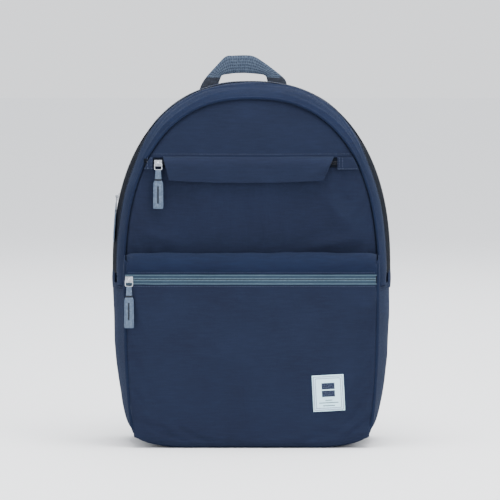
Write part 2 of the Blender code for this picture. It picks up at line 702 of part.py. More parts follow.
def circle_through(first, second, third):
    """Centre and radius of the circle through three points (x, z)."""
    (ax, az), (bx, bz), (cx, cz) = first, second, third
    twice = 2 * (ax * (bz - cz) + bx * (cz - az) + cx * (az - bz))
    a2 = ax * ax + az * az
    b2 = bx * bx + bz * bz
    c2 = cx * cx + cz * cz
    x = (a2 * (bz - cz) + b2 * (cz - az) + c2 * (az - bz)) / twice
    z = (a2 * (cx - bx) + b2 * (ax - cx) + c2 * (bx - ax)) / twice
    return x, z, math.hypot(ax - x, az - z)


# The main slider swings on the circle that fits the zip's curve on the left side
travel = [(-half_at(ZIP_FRONT, z), z) for z in (0.2400, 0.2900, 0.3400)]
centre_x, centre_z, travel_radius = circle_through(*travel)
slider_angle = math.asin((MAIN_SLIDER_HEIGHT - centre_z) / travel_radius)
outboard = Vector((-math.cos(slider_angle), 0, math.sin(slider_angle)))
upward = Vector((math.sin(slider_angle), 0, math.cos(slider_angle)))
slider_radius = travel_radius + MAIN_COIL_RISE + MAIN_SLIDER_LIFT
main_at = Vector((centre_x, ZIP_DEPTH, centre_z)) + outboard * slider_radius
main_pose = Matrix.Translation(main_at) @ Matrix((
    (upward.x, 0, outboard.x, 0), (0, 1, 0, 0), (upward.z, 0, outboard.z, 0), (0, 0, 0, 1)))
main_hook = main_pose @ Vector((0, 0, LUG_HEIGHT))
rise = (main_hook - Vector(MAIN_TAB_END)).normalized()
bar = -(Vector((0, 1, 0)) - rise * rise.y).normalized()
face = rise.cross(bar)
main_hang = Matrix((
    (bar.x, face.x, rise.x, 0), (bar.y, face.y, rise.y, 0), (bar.z, face.z, rise.z, 0), (0, 0, 0, 1)))
place_pull("main", open_slider, main_pose, main_hang)


# Grab handle
def half_ring(half_width, base, top, power, count):
    """Points (x, z) over one edge of the handle, from its right end to its left."""
    points = []
    for step in range(count + 1):
        angle = math.pi * step / count
        across = math.copysign(abs(math.cos(angle)) ** (2 / power), math.cos(angle))
        up = math.sin(angle) ** (2 / power)
        points.append((HANDLE_MIDDLE + half_width * across, base + (top - base) * up))
    return points


handle_outline = half_ring(HANDLE_HALF_WIDTH, HANDLE_BASE, HANDLE_TOP, 1.95, 20)
handle_outline += reversed(half_ring(HANDLE_INNER_HALF_WIDTH, HANDLE_BASE, HANDLE_INNER_TOP, 2.4, 16))
handle_outline = [(x, z - HANDLE_AXIS) for x, z in handle_outline]
handle = plate("grab_handle", handle_outline, HANDLE_DEPTH, HANDLE_THICKNESS, webbing_blue)
handle.location = (0, HANDLE_DEPTH, HANDLE_AXIS)

FOOT_DEPTH = 0.0662
FOOT_BOTTOM = 0.3900
FOOT_HALF_WIDTH = 0.0115
FOOT_THICKNESS = 0.0014
for side_name, side in (("left", -1), ("right", 1)):
    middle = HANDLE_MIDDLE + side * (HANDLE_HALF_WIDTH + HANDLE_INNER_HALF_WIDTH) / 2
    foot_outline = rounded_box(middle - FOOT_HALF_WIDTH, middle + FOOT_HALF_WIDTH, FOOT_BOTTOM, FOOT_TOP,
                               0.0010, 2)
    plate("handle_foot_" + side_name, foot_outline, FOOT_DEPTH, FOOT_THICKNESS, webbing_blue)


# Shoulder straps
YOKE_DEPTH = 0.0660
YOKE_HALF_WIDTH = 0.0800
yoke_outline = rounded_box(-YOKE_HALF_WIDTH, YOKE_HALF_WIDTH, 0.3640, 0.3885, 0.0030)
plate("strap_yoke", yoke_outline, YOKE_DEPTH, WEBBING_THICKNESS, webbing_blue)

# Middle line of a pad, top to bottom: across, depth, height, width, thickness
PAD_LINE = (
    (0.0450, 0.0708, 0.3845, 0.0500, 0.0052),
    (0.0480, 0.0744, 0.3600, 0.0560, 0.0070),
    (0.0560, 0.0770, 0.3250, 0.0610, STRAP_PAD_THICKNESS),
    (0.0650, 0.0783, 0.2850, 0.0610, STRAP_PAD_THICKNESS),
    (0.0720, 0.0782, 0.2450, 0.0580, STRAP_PAD_THICKNESS),
    (0.0765, 0.0776, 0.2050, 0.0520, STRAP_PAD_THICKNESS),
    (0.0780, 0.0772, 0.1720, 0.0460, 0.0068),
    (0.0780, 0.0770, 0.1520, 0.0400, 0.0048),
)


# Half of a pad's rounded cross-section, as shares of its width and thickness
PAD_PROFILE = ((-0.5, 0.0), (-0.44, 0.36), (-0.3, 0.5), (0.3, 0.5), (0.44, 0.36))


def pad_solid(name, side):
    """A padded strap: rounded cross-sections lofted along its middle line."""
    profile = [*PAD_PROFILE, *((-across, -deep) for across, deep in PAD_PROFILE)]
    build = bmesh.new()
    loops = []
    for x, y, z, width, thick in PAD_LINE:
        loop = []
        for across, deep in profile:
            loop.append(build.verts.new((side * (x + across * width), y + deep * thick, z)))
        loops.append(loop)
    for upper, lower in zip(loops, loops[1:]):
        for index in range(len(upper)):
            following = (index + 1) % len(upper)
            build.faces.new((upper[index], upper[following], lower[following], lower[index]))
    build.faces.new(loops[0])
    build.faces.new(loops[-1])
    bmesh.ops.recalc_face_normals(build, faces=build.faces[:])
    for vertex in build.verts:
        vertex.co -= Vector((0, *STRAP_AXIS))
    mesh = bpy.data.meshes.new(name)
    build.to_mesh(mesh)
    build.free()
    item = add_object(name, mesh, navy)
    item.location = (0, *STRAP_AXIS)


def webbing_piece(name, rows):
    """Flat webbing through rows of points, given its thickness."""
    item = add_object(name, mesh_of(name, rows), webbing_blue)
    solid = item.modifiers.new("thickness", "SOLIDIFY")
    solid.thickness = WEBBING_THICKNESS
    solid.offset = 0.0
    return item


def strip(name, route, origin):
    """Webbing along a route of points, its width along X, that moves about origin."""
    rows = []
    for place in route:
        across = Vector((WEBBING_WIDTH / 2, 0, 0))
        middle = Vector(place) - Vector(origin)
        rows.append([middle - across, middle + across])
    item = webbing_piece(name, rows)
    item.modifiers["thickness"].use_even_offset = True
    item.location = origin


def face_webbing_route(side):
    """Over the pad's outer face, round the buckle's top bar and back up the pad's inner face."""
    route = []
    lift = WEBBING_THICKNESS / 2 + 0.0004
    for x, y, z, _, thick in PAD_LINE[1:]:
        route.append((side * x, y + thick / 2 + lift, z))
    bar_y, bar_z = BUCKLE_AXIS
    for angle in spread(0, math.pi, 8):
        y = bar_y + BUCKLE_TURN * math.cos(angle)
        route.append((side * BUCKLE_X, y, bar_z - BUCKLE_TURN * math.sin(angle)))
    x, y, z, _, thick = PAD_LINE[-1]
    route.append((side * x, y - thick / 2 - lift, z))
    route.append((side * x, y - thick / 2 - lift - 0.0006, z + 0.0120))
    return route


BUCKLE_TOP_BAR = 0.0017
BUCKLE_BOTTOM = -0.0262
BUCKLE_RAIL = 0.0032     # width of the buckle's side rails
BUCKLE_HOLES = ((-0.0068, -0.0020), (-0.0148, -0.0108), (-0.0232, -0.0192))


def buckle(name, side):
    """A ladder lock: a frame with a top bar on the axis and two bars below it."""
    half = BUCKLE_WIDTH / 2
    opening = half - BUCKLE_RAIL
    holes = []
    for low, high in BUCKLE_HOLES:
        holes.append(list(reversed(rounded_box(-opening, opening, low, high, 0.0008, 2))))
    outline = rounded_box(-half, half, BUCKLE_BOTTOM, BUCKLE_TOP_BAR, 0.0016)
    frame = plate(name, outline, 0, BUCKLE_THICKNESS, plastic, holes=holes)
    frame.location = (side * BUCKLE_X, *BUCKLE_AXIS)


def lower_webbing(name, side):
    """Webbing from just below the buckle down to the anchor in the back's bottom corner."""
    top = Vector((side * BUCKLE_X, BUCKLE_AXIS[0] - 0.0010, BUCKLE_AXIS[1] + BUCKLE_BOTTOM - 0.0012))
    foot = Vector((side * ANCHOR_AT[0], ANCHOR_AT[1], ANCHOR_AT[2]))
    run = foot - top
    across = Vector((run.z, 0, -run.x)).normalized() * WEBBING_WIDTH / 2
    level = Vector((math.copysign(WEBBING_WIDTH / 2, across.x), 0, 0))
    rows = []
    for share in spread(0, 1, 8):
        middle = top.lerp(foot, share)
        reach = level.lerp(across, min(1.0, share * 2))
        rows.append([middle - reach, middle + reach])
    webbing_piece(name, rows)


TAIL_DEPTH = BUCKLE_AXIS[0] + BUCKLE_THICKNESS / 2 + 0.0011
TAIL_TOP = 0.1190
TAIL_LENGTH = 0.0850
ANCHOR_AT = (0.1230, 0.0656, 0.0330)
ANCHOR_DEPTH = 0.0638
ANCHOR_OUTLINE = (
    (0.1000, 0.0160),
    (0.1320, 0.0160),
    (0.1400, 0.0420),
    (0.1320, 0.0500),
    (0.1120, 0.0400),
)
for side_name, side in (("left", -1), ("right", 1)):
    pad_solid("strap_pad_" + side_name, side)
    strip("strap_webbing_" + side_name, face_webbing_route(side), (0, *STRAP_AXIS))
    buckle("strap_buckle_" + side_name, side)
    tail = []
    for share in spread(0, 1, 6):
        wave = 0.0004 * math.sin(2 * math.pi * share)
        tail.append((side * BUCKLE_X, TAIL_DEPTH + wave, TAIL_TOP - TAIL_LENGTH * share))
    strip("strap_tail_" + side_name, tail, (side * BUCKLE_X, *BUCKLE_AXIS))
    lower_webbing("lower_webbing_" + side_name, side)
    anchor = [(side * x, z) for x, z in ANCHOR_OUTLINE]
    plate("lower_anchor_" + side_name, anchor, ANCHOR_DEPTH, WEBBING_THICKNESS, navy)

for item in bag_collection.objects:
    if item.type == "MESH":
        item.data.shade_smooth()
        item.data.set_sharp_from_angle(angle=math.radians(35))
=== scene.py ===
import json
import math
import bpy
import numpy as np
from mathutils import Matrix, Vector, noise
from mathutils.bvhtree import BVHTree


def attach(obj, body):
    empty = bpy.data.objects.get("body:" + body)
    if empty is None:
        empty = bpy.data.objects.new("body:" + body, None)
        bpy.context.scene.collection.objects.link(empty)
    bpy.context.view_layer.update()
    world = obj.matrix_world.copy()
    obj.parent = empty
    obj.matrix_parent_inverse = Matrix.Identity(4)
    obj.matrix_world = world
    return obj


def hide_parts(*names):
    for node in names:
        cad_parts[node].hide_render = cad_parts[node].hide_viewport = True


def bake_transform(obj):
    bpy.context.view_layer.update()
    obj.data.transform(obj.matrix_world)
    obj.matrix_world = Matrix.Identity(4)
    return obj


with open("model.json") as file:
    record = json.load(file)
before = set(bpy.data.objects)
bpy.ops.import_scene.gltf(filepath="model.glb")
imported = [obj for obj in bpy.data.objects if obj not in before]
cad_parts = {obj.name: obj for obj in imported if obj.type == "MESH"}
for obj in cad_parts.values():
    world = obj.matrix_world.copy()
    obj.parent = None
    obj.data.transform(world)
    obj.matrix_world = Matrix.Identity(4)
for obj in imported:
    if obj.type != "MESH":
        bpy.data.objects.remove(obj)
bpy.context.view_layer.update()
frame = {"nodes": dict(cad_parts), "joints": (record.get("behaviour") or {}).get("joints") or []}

joints = {joint["name"]: joint for joint in frame["joints"]}
bagMiddle = (0, 0, 0.2)


# small helpers for nodes and colour
def hexLinear(code):
    channels = [int(code[i:i + 2], 16) / 255 for i in (1, 3, 5)]
    return tuple(c / 12.92 if c <= 0.04045 else ((c + 0.055) / 1.055) ** 2.4 for c in channels) + (1.0,)


def addNode(tree, kind, settings=None, inputs=None):
    node = tree.nodes.new(kind)
    for key, value in (settings or {}).items():
        setattr(node, key, value)
    for key, value in (inputs or {}).items():
        if isinstance(value, bpy.types.NodeSocket):
            tree.links.new(value, node.inputs[key])
        else:
            node.inputs[key].default_value = value
    return node


# camera, light and floor
camera = {"elevation": 5.0, "distance": 10.0, "width": 0.600, "aim": (-0.0018, -0.0300, 0.2338)}
cameraData = bpy.data.cameras.new("camera")
cameraData.sensor_width = 36
cameraData.lens = 36 * camera["distance"] / camera["width"]
cameraObject = bpy.data.objects.new("camera", cameraData)
bpy.context.scene.collection.objects.link(cameraObject)
tilt = math.radians(camera["elevation"])
cameraObject.location = Vector(camera["aim"]) + camera["distance"] * Vector(
    (0, -math.cos(tilt), math.sin(tilt))
)
cameraObject.rotation_euler = (math.pi / 2 - tilt, 0, 0)
bpy.context.scene.camera = cameraObject

lamps = {
    "overhead": {"at": (0.15, -0.35, 2.10), "size": 1.6, "power": 74, "aim": (0, 0, 0.25)},
    "keyRight": {"at": (1.55, -1.75, 1.15), "size": 1.2, "power": 27, "aim": (0, 0, 0.22)},
    "fillLeft": {"at": (-1.70, -1.55, 0.85), "size": 1.4, "power": 14, "aim": (0, 0, 0.22)},
    "backLight": {"at": (0.20, 1.90, 1.50), "size": 1.5, "power": 20, "aim": (0, 0, 0.25)},
}
for lampName, lamp in lamps.items():
    lampData = bpy.data.lights.new(lampName, "AREA")
    lampData.size = lamp["size"]
    lampData.energy = lamp["power"]
    lampObject = bpy.data.objects.new(lampName, lampData)
    bpy.context.scene.collection.objects.link(lampObject)
    lampObject.location = lamp["at"]
    lampObject.rotation_euler = (
        Vector(lamp["aim"]) - Vector(lamp["at"])
    ).to_track_quat("-Z", "Y").to_euler()

world = bpy.data.worlds.new("studio")
world.use_nodes = True
world.node_tree.nodes["Background"].inputs["Color"].default_value = hexLinear("#f4f6fa")
world.node_tree.nodes["Background"].inputs["Strength"].default_value = 1.55
bpy.context.scene.world = world


# materials
def startMaterial(name):
    made = bpy.data.materials.new(name)
    made.use_nodes = True
    made.node_tree.nodes.clear()
    return made, made.node_tree


def finishMaterial(tree, colour, rough, height, bumpDepth, settings):
    bump = addNode(tree, "ShaderNodeBump", None, {"Strength": 0.8, "Distance": bumpDepth, "Height": height})
    shader = addNode(
        tree, "ShaderNodeBsdfPrincipled", None,
        {"Base Color": colour, "Roughness": rough, "Normal": bump.outputs["Normal"], **settings}
    )
    addNode(tree, "ShaderNodeOutputMaterial", None, {"Surface": shader.outputs["BSDF"]})


def blendColour(tree, factor, first, second):
    mixed = addNode(tree, "ShaderNodeMix", {"data_type": "RGBA"}, {0: factor, 6: first, 7: second})
    return mixed.outputs[2]


def shaped(tree, value, low, high, newLow=0.0, newHigh=1.0):
    ramp = addNode(
        tree, "ShaderNodeMapRange", None,
        {"Value": value, "From Min": low, "From Max": high, "To Min": newLow, "To Max": newHigh}
    )
    return ramp.outputs["Result"]


def solidPlace(tree):
    return addNode(tree, "ShaderNodeTexCoord").outputs["Object"]


def clothPlace(tree):
    return addNode(tree, "ShaderNodeUVMap", {"uv_map": "cloth"}).outputs["UV"]


def noiseOf(tree, place, scale, detail, rough=0.5):
    settings = {"Vector": place, "Scale": scale, "Detail": detail, "Roughness": rough}
    return addNode(tree, "ShaderNodeTexNoise", None, settings).outputs["Fac"]


def plainWeave(
    name, gap, yarn, worn, threadMm=0.9, rough=0.88, sheen=0.10, tint="#8fa3c8", depthMm=0.16, gloss=0.12
):
    # plain weave of polyester yarn: dull, with darker gaps between threads and a faint bloom
    made, tree = startMaterial(name)
    place = clothPlace(tree)
    solid = solidPlace(tree)
    pitch = threadMm / 1000
    warp = addNode(
        tree, "ShaderNodeTexWave", {"bands_direction": "X"},
        {"Vector": place, "Scale": math.pi / 10 / pitch}
    )
    weft = addNode(
        tree, "ShaderNodeTexWave", {"bands_direction": "Y"},
        {"Vector": place, "Scale": math.pi / 10 / pitch}
    )
    over = addNode(tree, "ShaderNodeTexChecker", None, {"Vector": place, "Scale": 1 / pitch})
    threads = addNode(
        tree, "ShaderNodeMix", {"data_type": "FLOAT"},
        {0: over.outputs["Fac"], 2: warp.outputs["Fac"], 3: weft.outputs["Fac"]}
    ).outputs[0]
    stretched = addNode(tree, "ShaderNodeMapping", None, {"Vector": solid, "Scale": (60, 60, 520)})
    slubs = noiseOf(tree, stretched.outputs["Vector"], 1.0, 4.0, 0.6)
    clouds = noiseOf(tree, solid, 16.0, 3.0)
    grain = noiseOf(tree, solid, 850.0, 2.0)
    colour = blendColour(tree, shaped(tree, threads, 0.0, 0.75, 0.25, 1.0), hexLinear(gap), hexLinear(yarn))
    colour = blendColour(tree, shaped(tree, slubs, 0.42, 0.72, 0.0, 0.30), colour, hexLinear(worn))
    colour = blendColour(tree, shaped(tree, clouds, 0.35, 0.70, 0.0, 0.22), colour, hexLinear(worn))
    colour = blendColour(tree, shaped(tree, grain, 0.45, 0.75, 0.0, 0.18), colour, hexLinear(gap))
    height = addNode(
        tree, "ShaderNodeMath", {"operation": "MULTIPLY_ADD"}, {0: grain, 1: 0.35, 2: threads}
    ).outputs["Value"]
    finishMaterial(
        tree, colour, shaped(tree, threads, 0.0, 1.0, min(1.0, rough + 0.06), rough - 0.05), height,
        depthMm / 1000,
        {
            "Sheen Weight": sheen, "Sheen Roughness": 0.45, "Sheen Tint": hexLinear(tint),
            "Specular IOR Level": gloss
        }
    )
    return made


def ribbedTape(
    name, gap, yarn, worn, ribMm=1.7, rowMm=1.1, rowWeight=0.35, across=True, rough=0.78, depthMm=0.35
):
    # narrow woven webbing: a rib at each weft thread, with finer warp yarns running along it
    made, tree = startMaterial(name)
    place = clothPlace(tree)
    solid = solidPlace(tree)
    first, second = ("Y", "X") if across else ("X", "Y")
    ribs = addNode(
        tree, "ShaderNodeTexWave", {"bands_direction": first},
        {"Vector": place, "Scale": math.pi / 10 / (ribMm / 1000), "Distortion": 0.6, "Detail Scale": 2.0}
    ).outputs["Fac"]
    yarns = addNode(
        tree, "ShaderNodeTexWave", {"bands_direction": second},
        {"Vector": place, "Scale": math.pi / 10 / (rowMm / 1000)}
    ).outputs["Fac"]
    fuzz = noiseOf(tree, solid, 420.0, 4.0, 0.65)
    both = addNode(
        tree, "ShaderNodeMath", {"operation": "MULTIPLY_ADD"}, {0: yarns, 1: rowWeight, 2: ribs}
    ).outputs["Value"]
    colour = blendColour(tree, shaped(tree, both, 0.10, 1.15), hexLinear(gap), hexLinear(yarn))
    colour = blendColour(tree, shaped(tree, fuzz, 0.48, 0.72, 0.0, 0.65), colour, hexLinear(worn))
    finishMaterial(
        tree, colour, rough, both, depthMm / 1000,
        {"Sheen Weight": 0.2, "Sheen Tint": hexLinear(worn), "Specular IOR Level": 0.35}
    )
    return made


def spunThread(name, base, light, rough=0.7):
    # twisted polyester sewing thread: fine light and dark plies
    made, tree = startMaterial(name)
    solid = solidPlace(tree)
    plies = noiseOf(tree, solid, 1300.0, 2.0)
    colour = blendColour(tree, shaped(tree, plies, 0.40, 0.65), hexLinear(base), hexLinear(light))
    finishMaterial(tree, colour, rough, plies, 0.0001, {"Specular IOR Level": 0.4})
    return made


def mouldedPlastic(name, base, light, rough=0.42):
    # injection-moulded acetal: smooth with a faint grain and slightly paler scuffs
    made, tree = startMaterial(name)
    solid = solidPlace(tree)
    grain = noiseOf(tree, solid, 900.0, 3.0)
    scuffs = noiseOf(tree, solid, 70.0, 6.0, 0.7)
    colour = blendColour(
        tree, shaped(tree, scuffs, 0.50, 0.80, 0.0, 0.5), hexLinear(base), hexLinear(light)
    )
    finishMaterial(
        tree, colour, shaped(tree, scuffs, 0.3, 0.8, rough - 0.06, rough + 0.16), grain, 0.00005,
        {"IOR": 1.48}
    )
    return made


def platedMetal(name, base, dull, rough=0.20):
    # nickel-plated zinc casting: bright, with faint tarnish where fingers rub
    made, tree = startMaterial(name)
    solid = solidPlace(tree)
    tarnish = noiseOf(tree, solid, 260.0, 5.0)
    colour = blendColour(
        tree, shaped(tree, tarnish, 0.45, 0.75, 0.0, 0.6), hexLinear(base), hexLinear(dull)
    )
    finishMaterial(
        tree, colour, shaped(tree, tarnish, 0.3, 0.8, rough, rough + 0.22), tarnish, 0.00004,
        {"Metallic": 1.0}
    )
    return made


def spacerMesh(name, hole, yarn, worn, cellMm=3.2):
    # knitted spacer mesh: round holes in rows, open and soft
    made, tree = startMaterial(name)
    place = clothPlace(tree)
    solid = solidPlace(tree)
    cells = addNode(
        tree, "ShaderNodeTexVoronoi", {"voronoi_dimensions": "2D"},
        {"Vector": place, "Scale": 1000 / cellMm, "Randomness": 0.18}
    ).outputs["Distance"]
    fuzz = noiseOf(tree, solid, 700.0, 3.0)
    opened = shaped(tree, cells, 0.16, 0.36)
    colour = blendColour(tree, opened, hexLinear(hole), hexLinear(yarn))
    colour = blendColour(tree, shaped(tree, fuzz, 0.45, 0.75, 0.0, 0.35), colour, hexLinear(worn))
    finishMaterial(tree, colour, 0.94, opened, 0.0005, {"Sheen Weight": 0.03, "Specular IOR Level": 0.08})
    return made


navy = plainWeave("navyPolyesterCanvas", "#0d111d", "#181f33", "#1e2840")
# a darker copy of the same navy canvas: its darker colour is painted shade on the gussets, sides, pocket
# strip, back, straps and the flap's underside
navyPaintedShade = plainWeave("navyCanvasPaintedShade", "#0b101d", "#161e33", "#1b2741", sheen=0.06, gloss=0.07)
bindingTape = plainWeave("navyBindingTape", "#0b0f1a", "#141a2b", "#1c2438", threadMm=0.8, sheen=0.2)
lining = plainWeave(
    "greyTaffetaLining", "#333944", "#4a515e", "#59626f", threadMm=0.6, rough=0.7, sheen=0.15, depthMm=0.06
)
zipCloth = plainWeave(
    "tealZipTape", "#1b2735", "#293a48", "#3c4e5e", threadMm=0.8, rough=0.75, tint="#586d80"
)
darkZipCloth = plainWeave(
    "inkZipTape", "#07090e", "#0e121a", "#161b26", threadMm=0.8, rough=0.78, sheen=0.0, gloss=0.03
)
webbing = ribbedTape(
    "steelBlueWebbing", "#232c3c", "#3c495c", "#516071", ribMm=2.6, rowMm=3.6, rowWeight=0.8
)
pullWebbing = ribbedTape("pullTabWebbing", "#333f50", "#4f6178", "#708093", ribMm=1.3, rough=0.7)
# a darker copy of the handle webbing: its darker colour is painted shade on the handle's legs
legWebbingPaintedShade = ribbedTape("slateWebbingPaintedShade", "#131821", "#232936", "#303747", ribMm=1.7)
strapWebbing = ribbedTape("navyHarnessWebbing", "#0a0e19", "#171e2f", "#21293c", ribMm=1.6)
coilPale = mouldedPlastic("tealNylonCoil", "#4a6271", "#6e8392", 0.35)
coilDark = mouldedPlastic("inkNylonCoil", "#090b11", "#1d232f", 0.38)
seamThread = spunThread("navySeamThread", "#1e273b", "#3a465f")
paleThread = spunThread("steelSeamThread", "#2e3a52", "#54627c")
darkThread = spunThread("inkBarTack", "#070b12", "#171d2b")
metal = platedMetal("nickelPlatedZinc", "#b4b9c0", "#6f757e")
plastic = mouldedPlastic("inkAcetal", "#0e121c", "#1d2331")
airMesh = spacerMesh("navySpacerMesh", "#070911", "#181e30", "#222b44")
labelCloth = plainWeave(
    "iceWovenLabel", "#b2dbea", "#c6ecf9", "#ddf7ff", threadMm=0.7, rough=0.7, sheen=0.1, tint="#ffffff",
    depthMm=0.05
)
labelLine = spunThread("lavenderLabelThread", "#737695", "#9094ae")
labelMark = spunThread("navyLabelThread", "#141d32", "#232f4c")
print("materials made")

floorMaterial, floorTree = startMaterial("paleStudioFloor")
floorSpeck = addNode(floorTree, "ShaderNodeTexNoise", None, {"Scale": 3.0, "Detail": 2.0}).outputs["Fac"]
finishMaterial(
    floorTree, blendColour(floorTree, floorSpeck, hexLinear("#f3f4f6"), hexLinear("#fafbfc")), 0.9,
    floorSpeck, 0.0001, {"Specular IOR Level": 0.1}
)
floorMesh = bpy.data.meshes.new("floor")
floorMesh.from_pydata(
    [(-6, -6, -0.0002), (6, -6, -0.0002), (6, 6, -0.0002), (-6, 6, -0.0002)], [], [(0, 1, 2, 3)]
)
floorObject = bpy.data.objects.new("floor", floorMesh)
floorObject.data.materials.append(floorMaterial)
bpy.context.scene.collection.objects.link(floorObject)

# the shape of the bag: a closed outline at each depth
bagShape = {
    "floorFlat": 0.078,       # half the width that lies flat on the floor
    "cornerRise": 0.012,
    "cornerHalf": 0.144,
    # depth, half width, crest, spring, power, foot
    "cuts": [
        (-0.0765, 0.1530, 0.4000, 0.200, 2.30, 0.1415),
        (-0.0437, 0.1535, 0.4185, 0.200, 2.40, 0.1395),
        (-0.0180, 0.1622, 0.4290, 0.205, 2.35, 0.1425),
        (0.0040, 0.1660, 0.4325, 0.210, 2.30, 0.1440),
        (0.0209, 0.1660, 0.4325, 0.210, 2.30, 0.1440),
        (0.0420, 0.1625, 0.4300, 0.210, 2.30, 0.1430),
        (0.0597, 0.1560, 0.4240, 0.212, 2.30, 0.1410),
    ],
    "crease": 0.2320,         # where the front tips forward
    "sideSeam": 0.1920,
    "frontDepth": -0.0440,
    "pocketDepth": -0.0768,
    "zipLine": 0.0123,
}
cutTable = np.array(bagShape["cuts"])


def through(stations, values, at):
    # smooth curve through the values, with slopes from each station's neighbours
    stations, values = np.asarray(stations, float), np.asarray(values, float)
    slopes = np.gradient(values, stations, axis=0)
    k = int(np.clip(np.searchsorted(stations, at) - 1, 0, len(stations) - 2))
    span = stations[k + 1] - stations[k]
    s = (at - stations[k]) / span
    return ((2 * s ** 3 - 3 * s ** 2 + 1) * values[k] + (s ** 3 - 2 * s ** 2 + s) * span * slopes[k]
            + (3 * s ** 2 - 2 * s ** 3) * values[k + 1] + (s ** 3 - s ** 2) * span * slopes[k + 1])


def cutAt(depth):
    if depth > cutTable[1, 0]:
        return through(cutTable[1:, 0], cutTable[1:, 1:], depth)
    first, second = cutTable[:2]
    return first[1:] + (second[1:] - first[1:]) * (depth - first[0]) / (second[0] - first[0])


def floorHeight(x):
    beyond = np.maximum(0.0, np.abs(x) - bagShape["floorFlat"]) / (
        bagShape["cornerHalf"] - bagShape["floorFlat"]
    )
    return bagShape["cornerRise"] * beyond ** 2


def halfAt(cut, z):
    half, crest, spring, power, foot = cut
    if z < spring:
        return half - (half - foot) * ((spring - z) / spring) ** 3
    rise = min(1.0, (z - spring) / (crest - spring))
    return half * (1 - rise ** power) ** (1 / power)


def archRow(depth, low, inset=0.0, proud=0.0, sides=34, top=104):
    # from low on the left, over the top and down to low on the right
    half, crest, spring, power, _ = cut = cutAt(depth)
    heights = np.linspace(low, spring, sides, endpoint=False)
    left = [(-halfAt(cut, z), z) for z in heights]
    angles = np.linspace(0, math.pi, top)
    arch = [
        (
            -half * math.copysign(abs(math.cos(a)) ** (2 / power), math.cos(a)),
            spring + (crest - spring) * max(0.0, math.sin(a)) ** (2 / power)
        )
        for a in angles
    ]
    right = [(-x, z) for x, z in reversed(left)]
    row = np.array([(x, depth, z) for x, z in left + arch + right])
    return movedIn(row, inset - proud)


archDepths = np.linspace(-0.0437, 0.0597, 60)


def archSheet(low, firstDepth, lastDepth, columns, proud=(0.0, 0.0), sunkOnTop=0.0):
    # firstDepth and lastDepth give the two edges' depths for a height
    table = np.array([archRow(d, low) for d in archDepths])
    normals = gridNormals(table, bagMiddle)
    heights = table[20, :, 2]
    grid = np.zeros((columns, table.shape[1], 3))
    for j, z in enumerate(heights):
        for i, s in enumerate(np.linspace(0, 1, columns)):
            depth = firstDepth(z) + (lastDepth(z) - firstDepth(z)) * s
            point = np.array([np.interp(depth, archDepths, table[:, j, k]) for k in range(3)])
            normal = np.array([np.interp(depth, archDepths, normals[:, j, k]) for k in range(3)])
            sunk = sunkOnTop * min(1.0, max(0.0, (z - 0.350) / 0.040))
            grid[i, j] = point + normal * (proud[0] + (proud[1] - proud[0]) * s - sunk)
    return grid


def bowlRow(depth, high, inset=0.0, sides=40, base=72):
    # from high on the left, down the side, along the floor and up to high on the right
    cut = cutAt(depth)
    cornerZ = 0.0115
    for _ in range(6):
        cornerX = halfAt(cut, cornerZ)
        cornerZ = float(floorHeight(cornerX))
    left = [(-halfAt(cut, z), z) for z in np.linspace(high, cornerZ, sides, endpoint=False)]
    across = [(x, float(floorHeight(x))) for x in np.linspace(-cornerX, cornerX, base)]
    right = [(-x, z) for x, z in reversed(left)]
    row = np.array([(x, depth, z) for x, z in left + across + right])
    for corner in (sides, sides + base - 1):
        for _ in range(10):
            near = slice(corner - 4, corner + 5)
            around = row[corner - 5:corner + 6]
            row[near] = (around[:-2] + 2 * around[1:-1] + around[2:]) / 4
    return movedIn(row, inset)


def movedIn(row, amount):
    # every point moved towards the inside of the outline, square to it
    if amount == 0:
        return row
    along = np.gradient(row, axis=0)
    along[:, 1] = 0
    along /= np.maximum(np.linalg.norm(along, axis=1), 1e-9)[:, None]
    inward = np.stack([along[:, 2], np.zeros(len(row)), -along[:, 0]], axis=1)
    centre = np.array([0.0, row[0, 1], 0.20])
    if np.sum(inward * (centre - row)) < 0:
        inward = -inward
    return row + inward * amount


# cloth grids
def gridNormals(grid, centre):
    across, up = np.gradient(grid, axis=1), np.gradient(grid, axis=0)
    normals = np.cross(across, up)
    lengths = np.linalg.norm(normals, axis=2, keepdims=True)
    normals = normals / np.maximum(lengths, 1e-12)
    if np.sum(normals * (grid - np.asarray(centre))) < 0:
        normals = -normals
    return normals


def roughness(grid, size, depth, seed, stretch=(1, 1, 1)):
    # soft unevenness of cloth; size and depth in metres
    flat = grid.reshape(-1, 3)
    values = [
        noise.noise(
            Vector(
                (
                    p[0] / size * stretch[0] + seed, p[1] / size * stretch[1] + 2.7 * seed,
                    p[2] / size * stretch[2] - seed
                )
            )
        )
        for p in flat
    ]
    return depth * np.array(values).reshape(grid.shape[:2])


def edgeDistance(grid):
    # distance along the cloth to its nearest edge
    across = np.linalg.norm(np.diff(grid, axis=1), axis=2)
    fromLeft = np.concatenate([np.zeros((len(grid), 1)), np.cumsum(across, axis=1)], axis=1)
    up = np.linalg.norm(np.diff(grid, axis=0), axis=2)
    fromLow = np.concatenate([np.zeros((1, grid.shape[1])), np.cumsum(up, axis=0)], axis=0)
    sides = np.minimum(fromLeft, fromLeft[:, -1:] - fromLeft)
    return sides, np.minimum(fromLow, fromLow[-1:] - fromLow), fromLeft - fromLeft[:, -1:] / 2, fromLow


def foldLine(grid, start, end, width, depth, plane=(0, 2)):
    # a raised or sunk fold between two points of the cloth, seen along the third axis
    p = grid[:, :, plane]
    a, b = np.array(start), np.array(end)
    along = b - a
    s = np.clip(((p - a) @ along) / (along @ along), 0, 1)
    away = np.linalg.norm(p - (a + s[..., None] * along), axis=2)
    fade = np.sin(np.pi * np.clip(0.08 + 0.84 * s, 0, 1))
    return depth * fade * np.exp(-(away / width) ** 2)


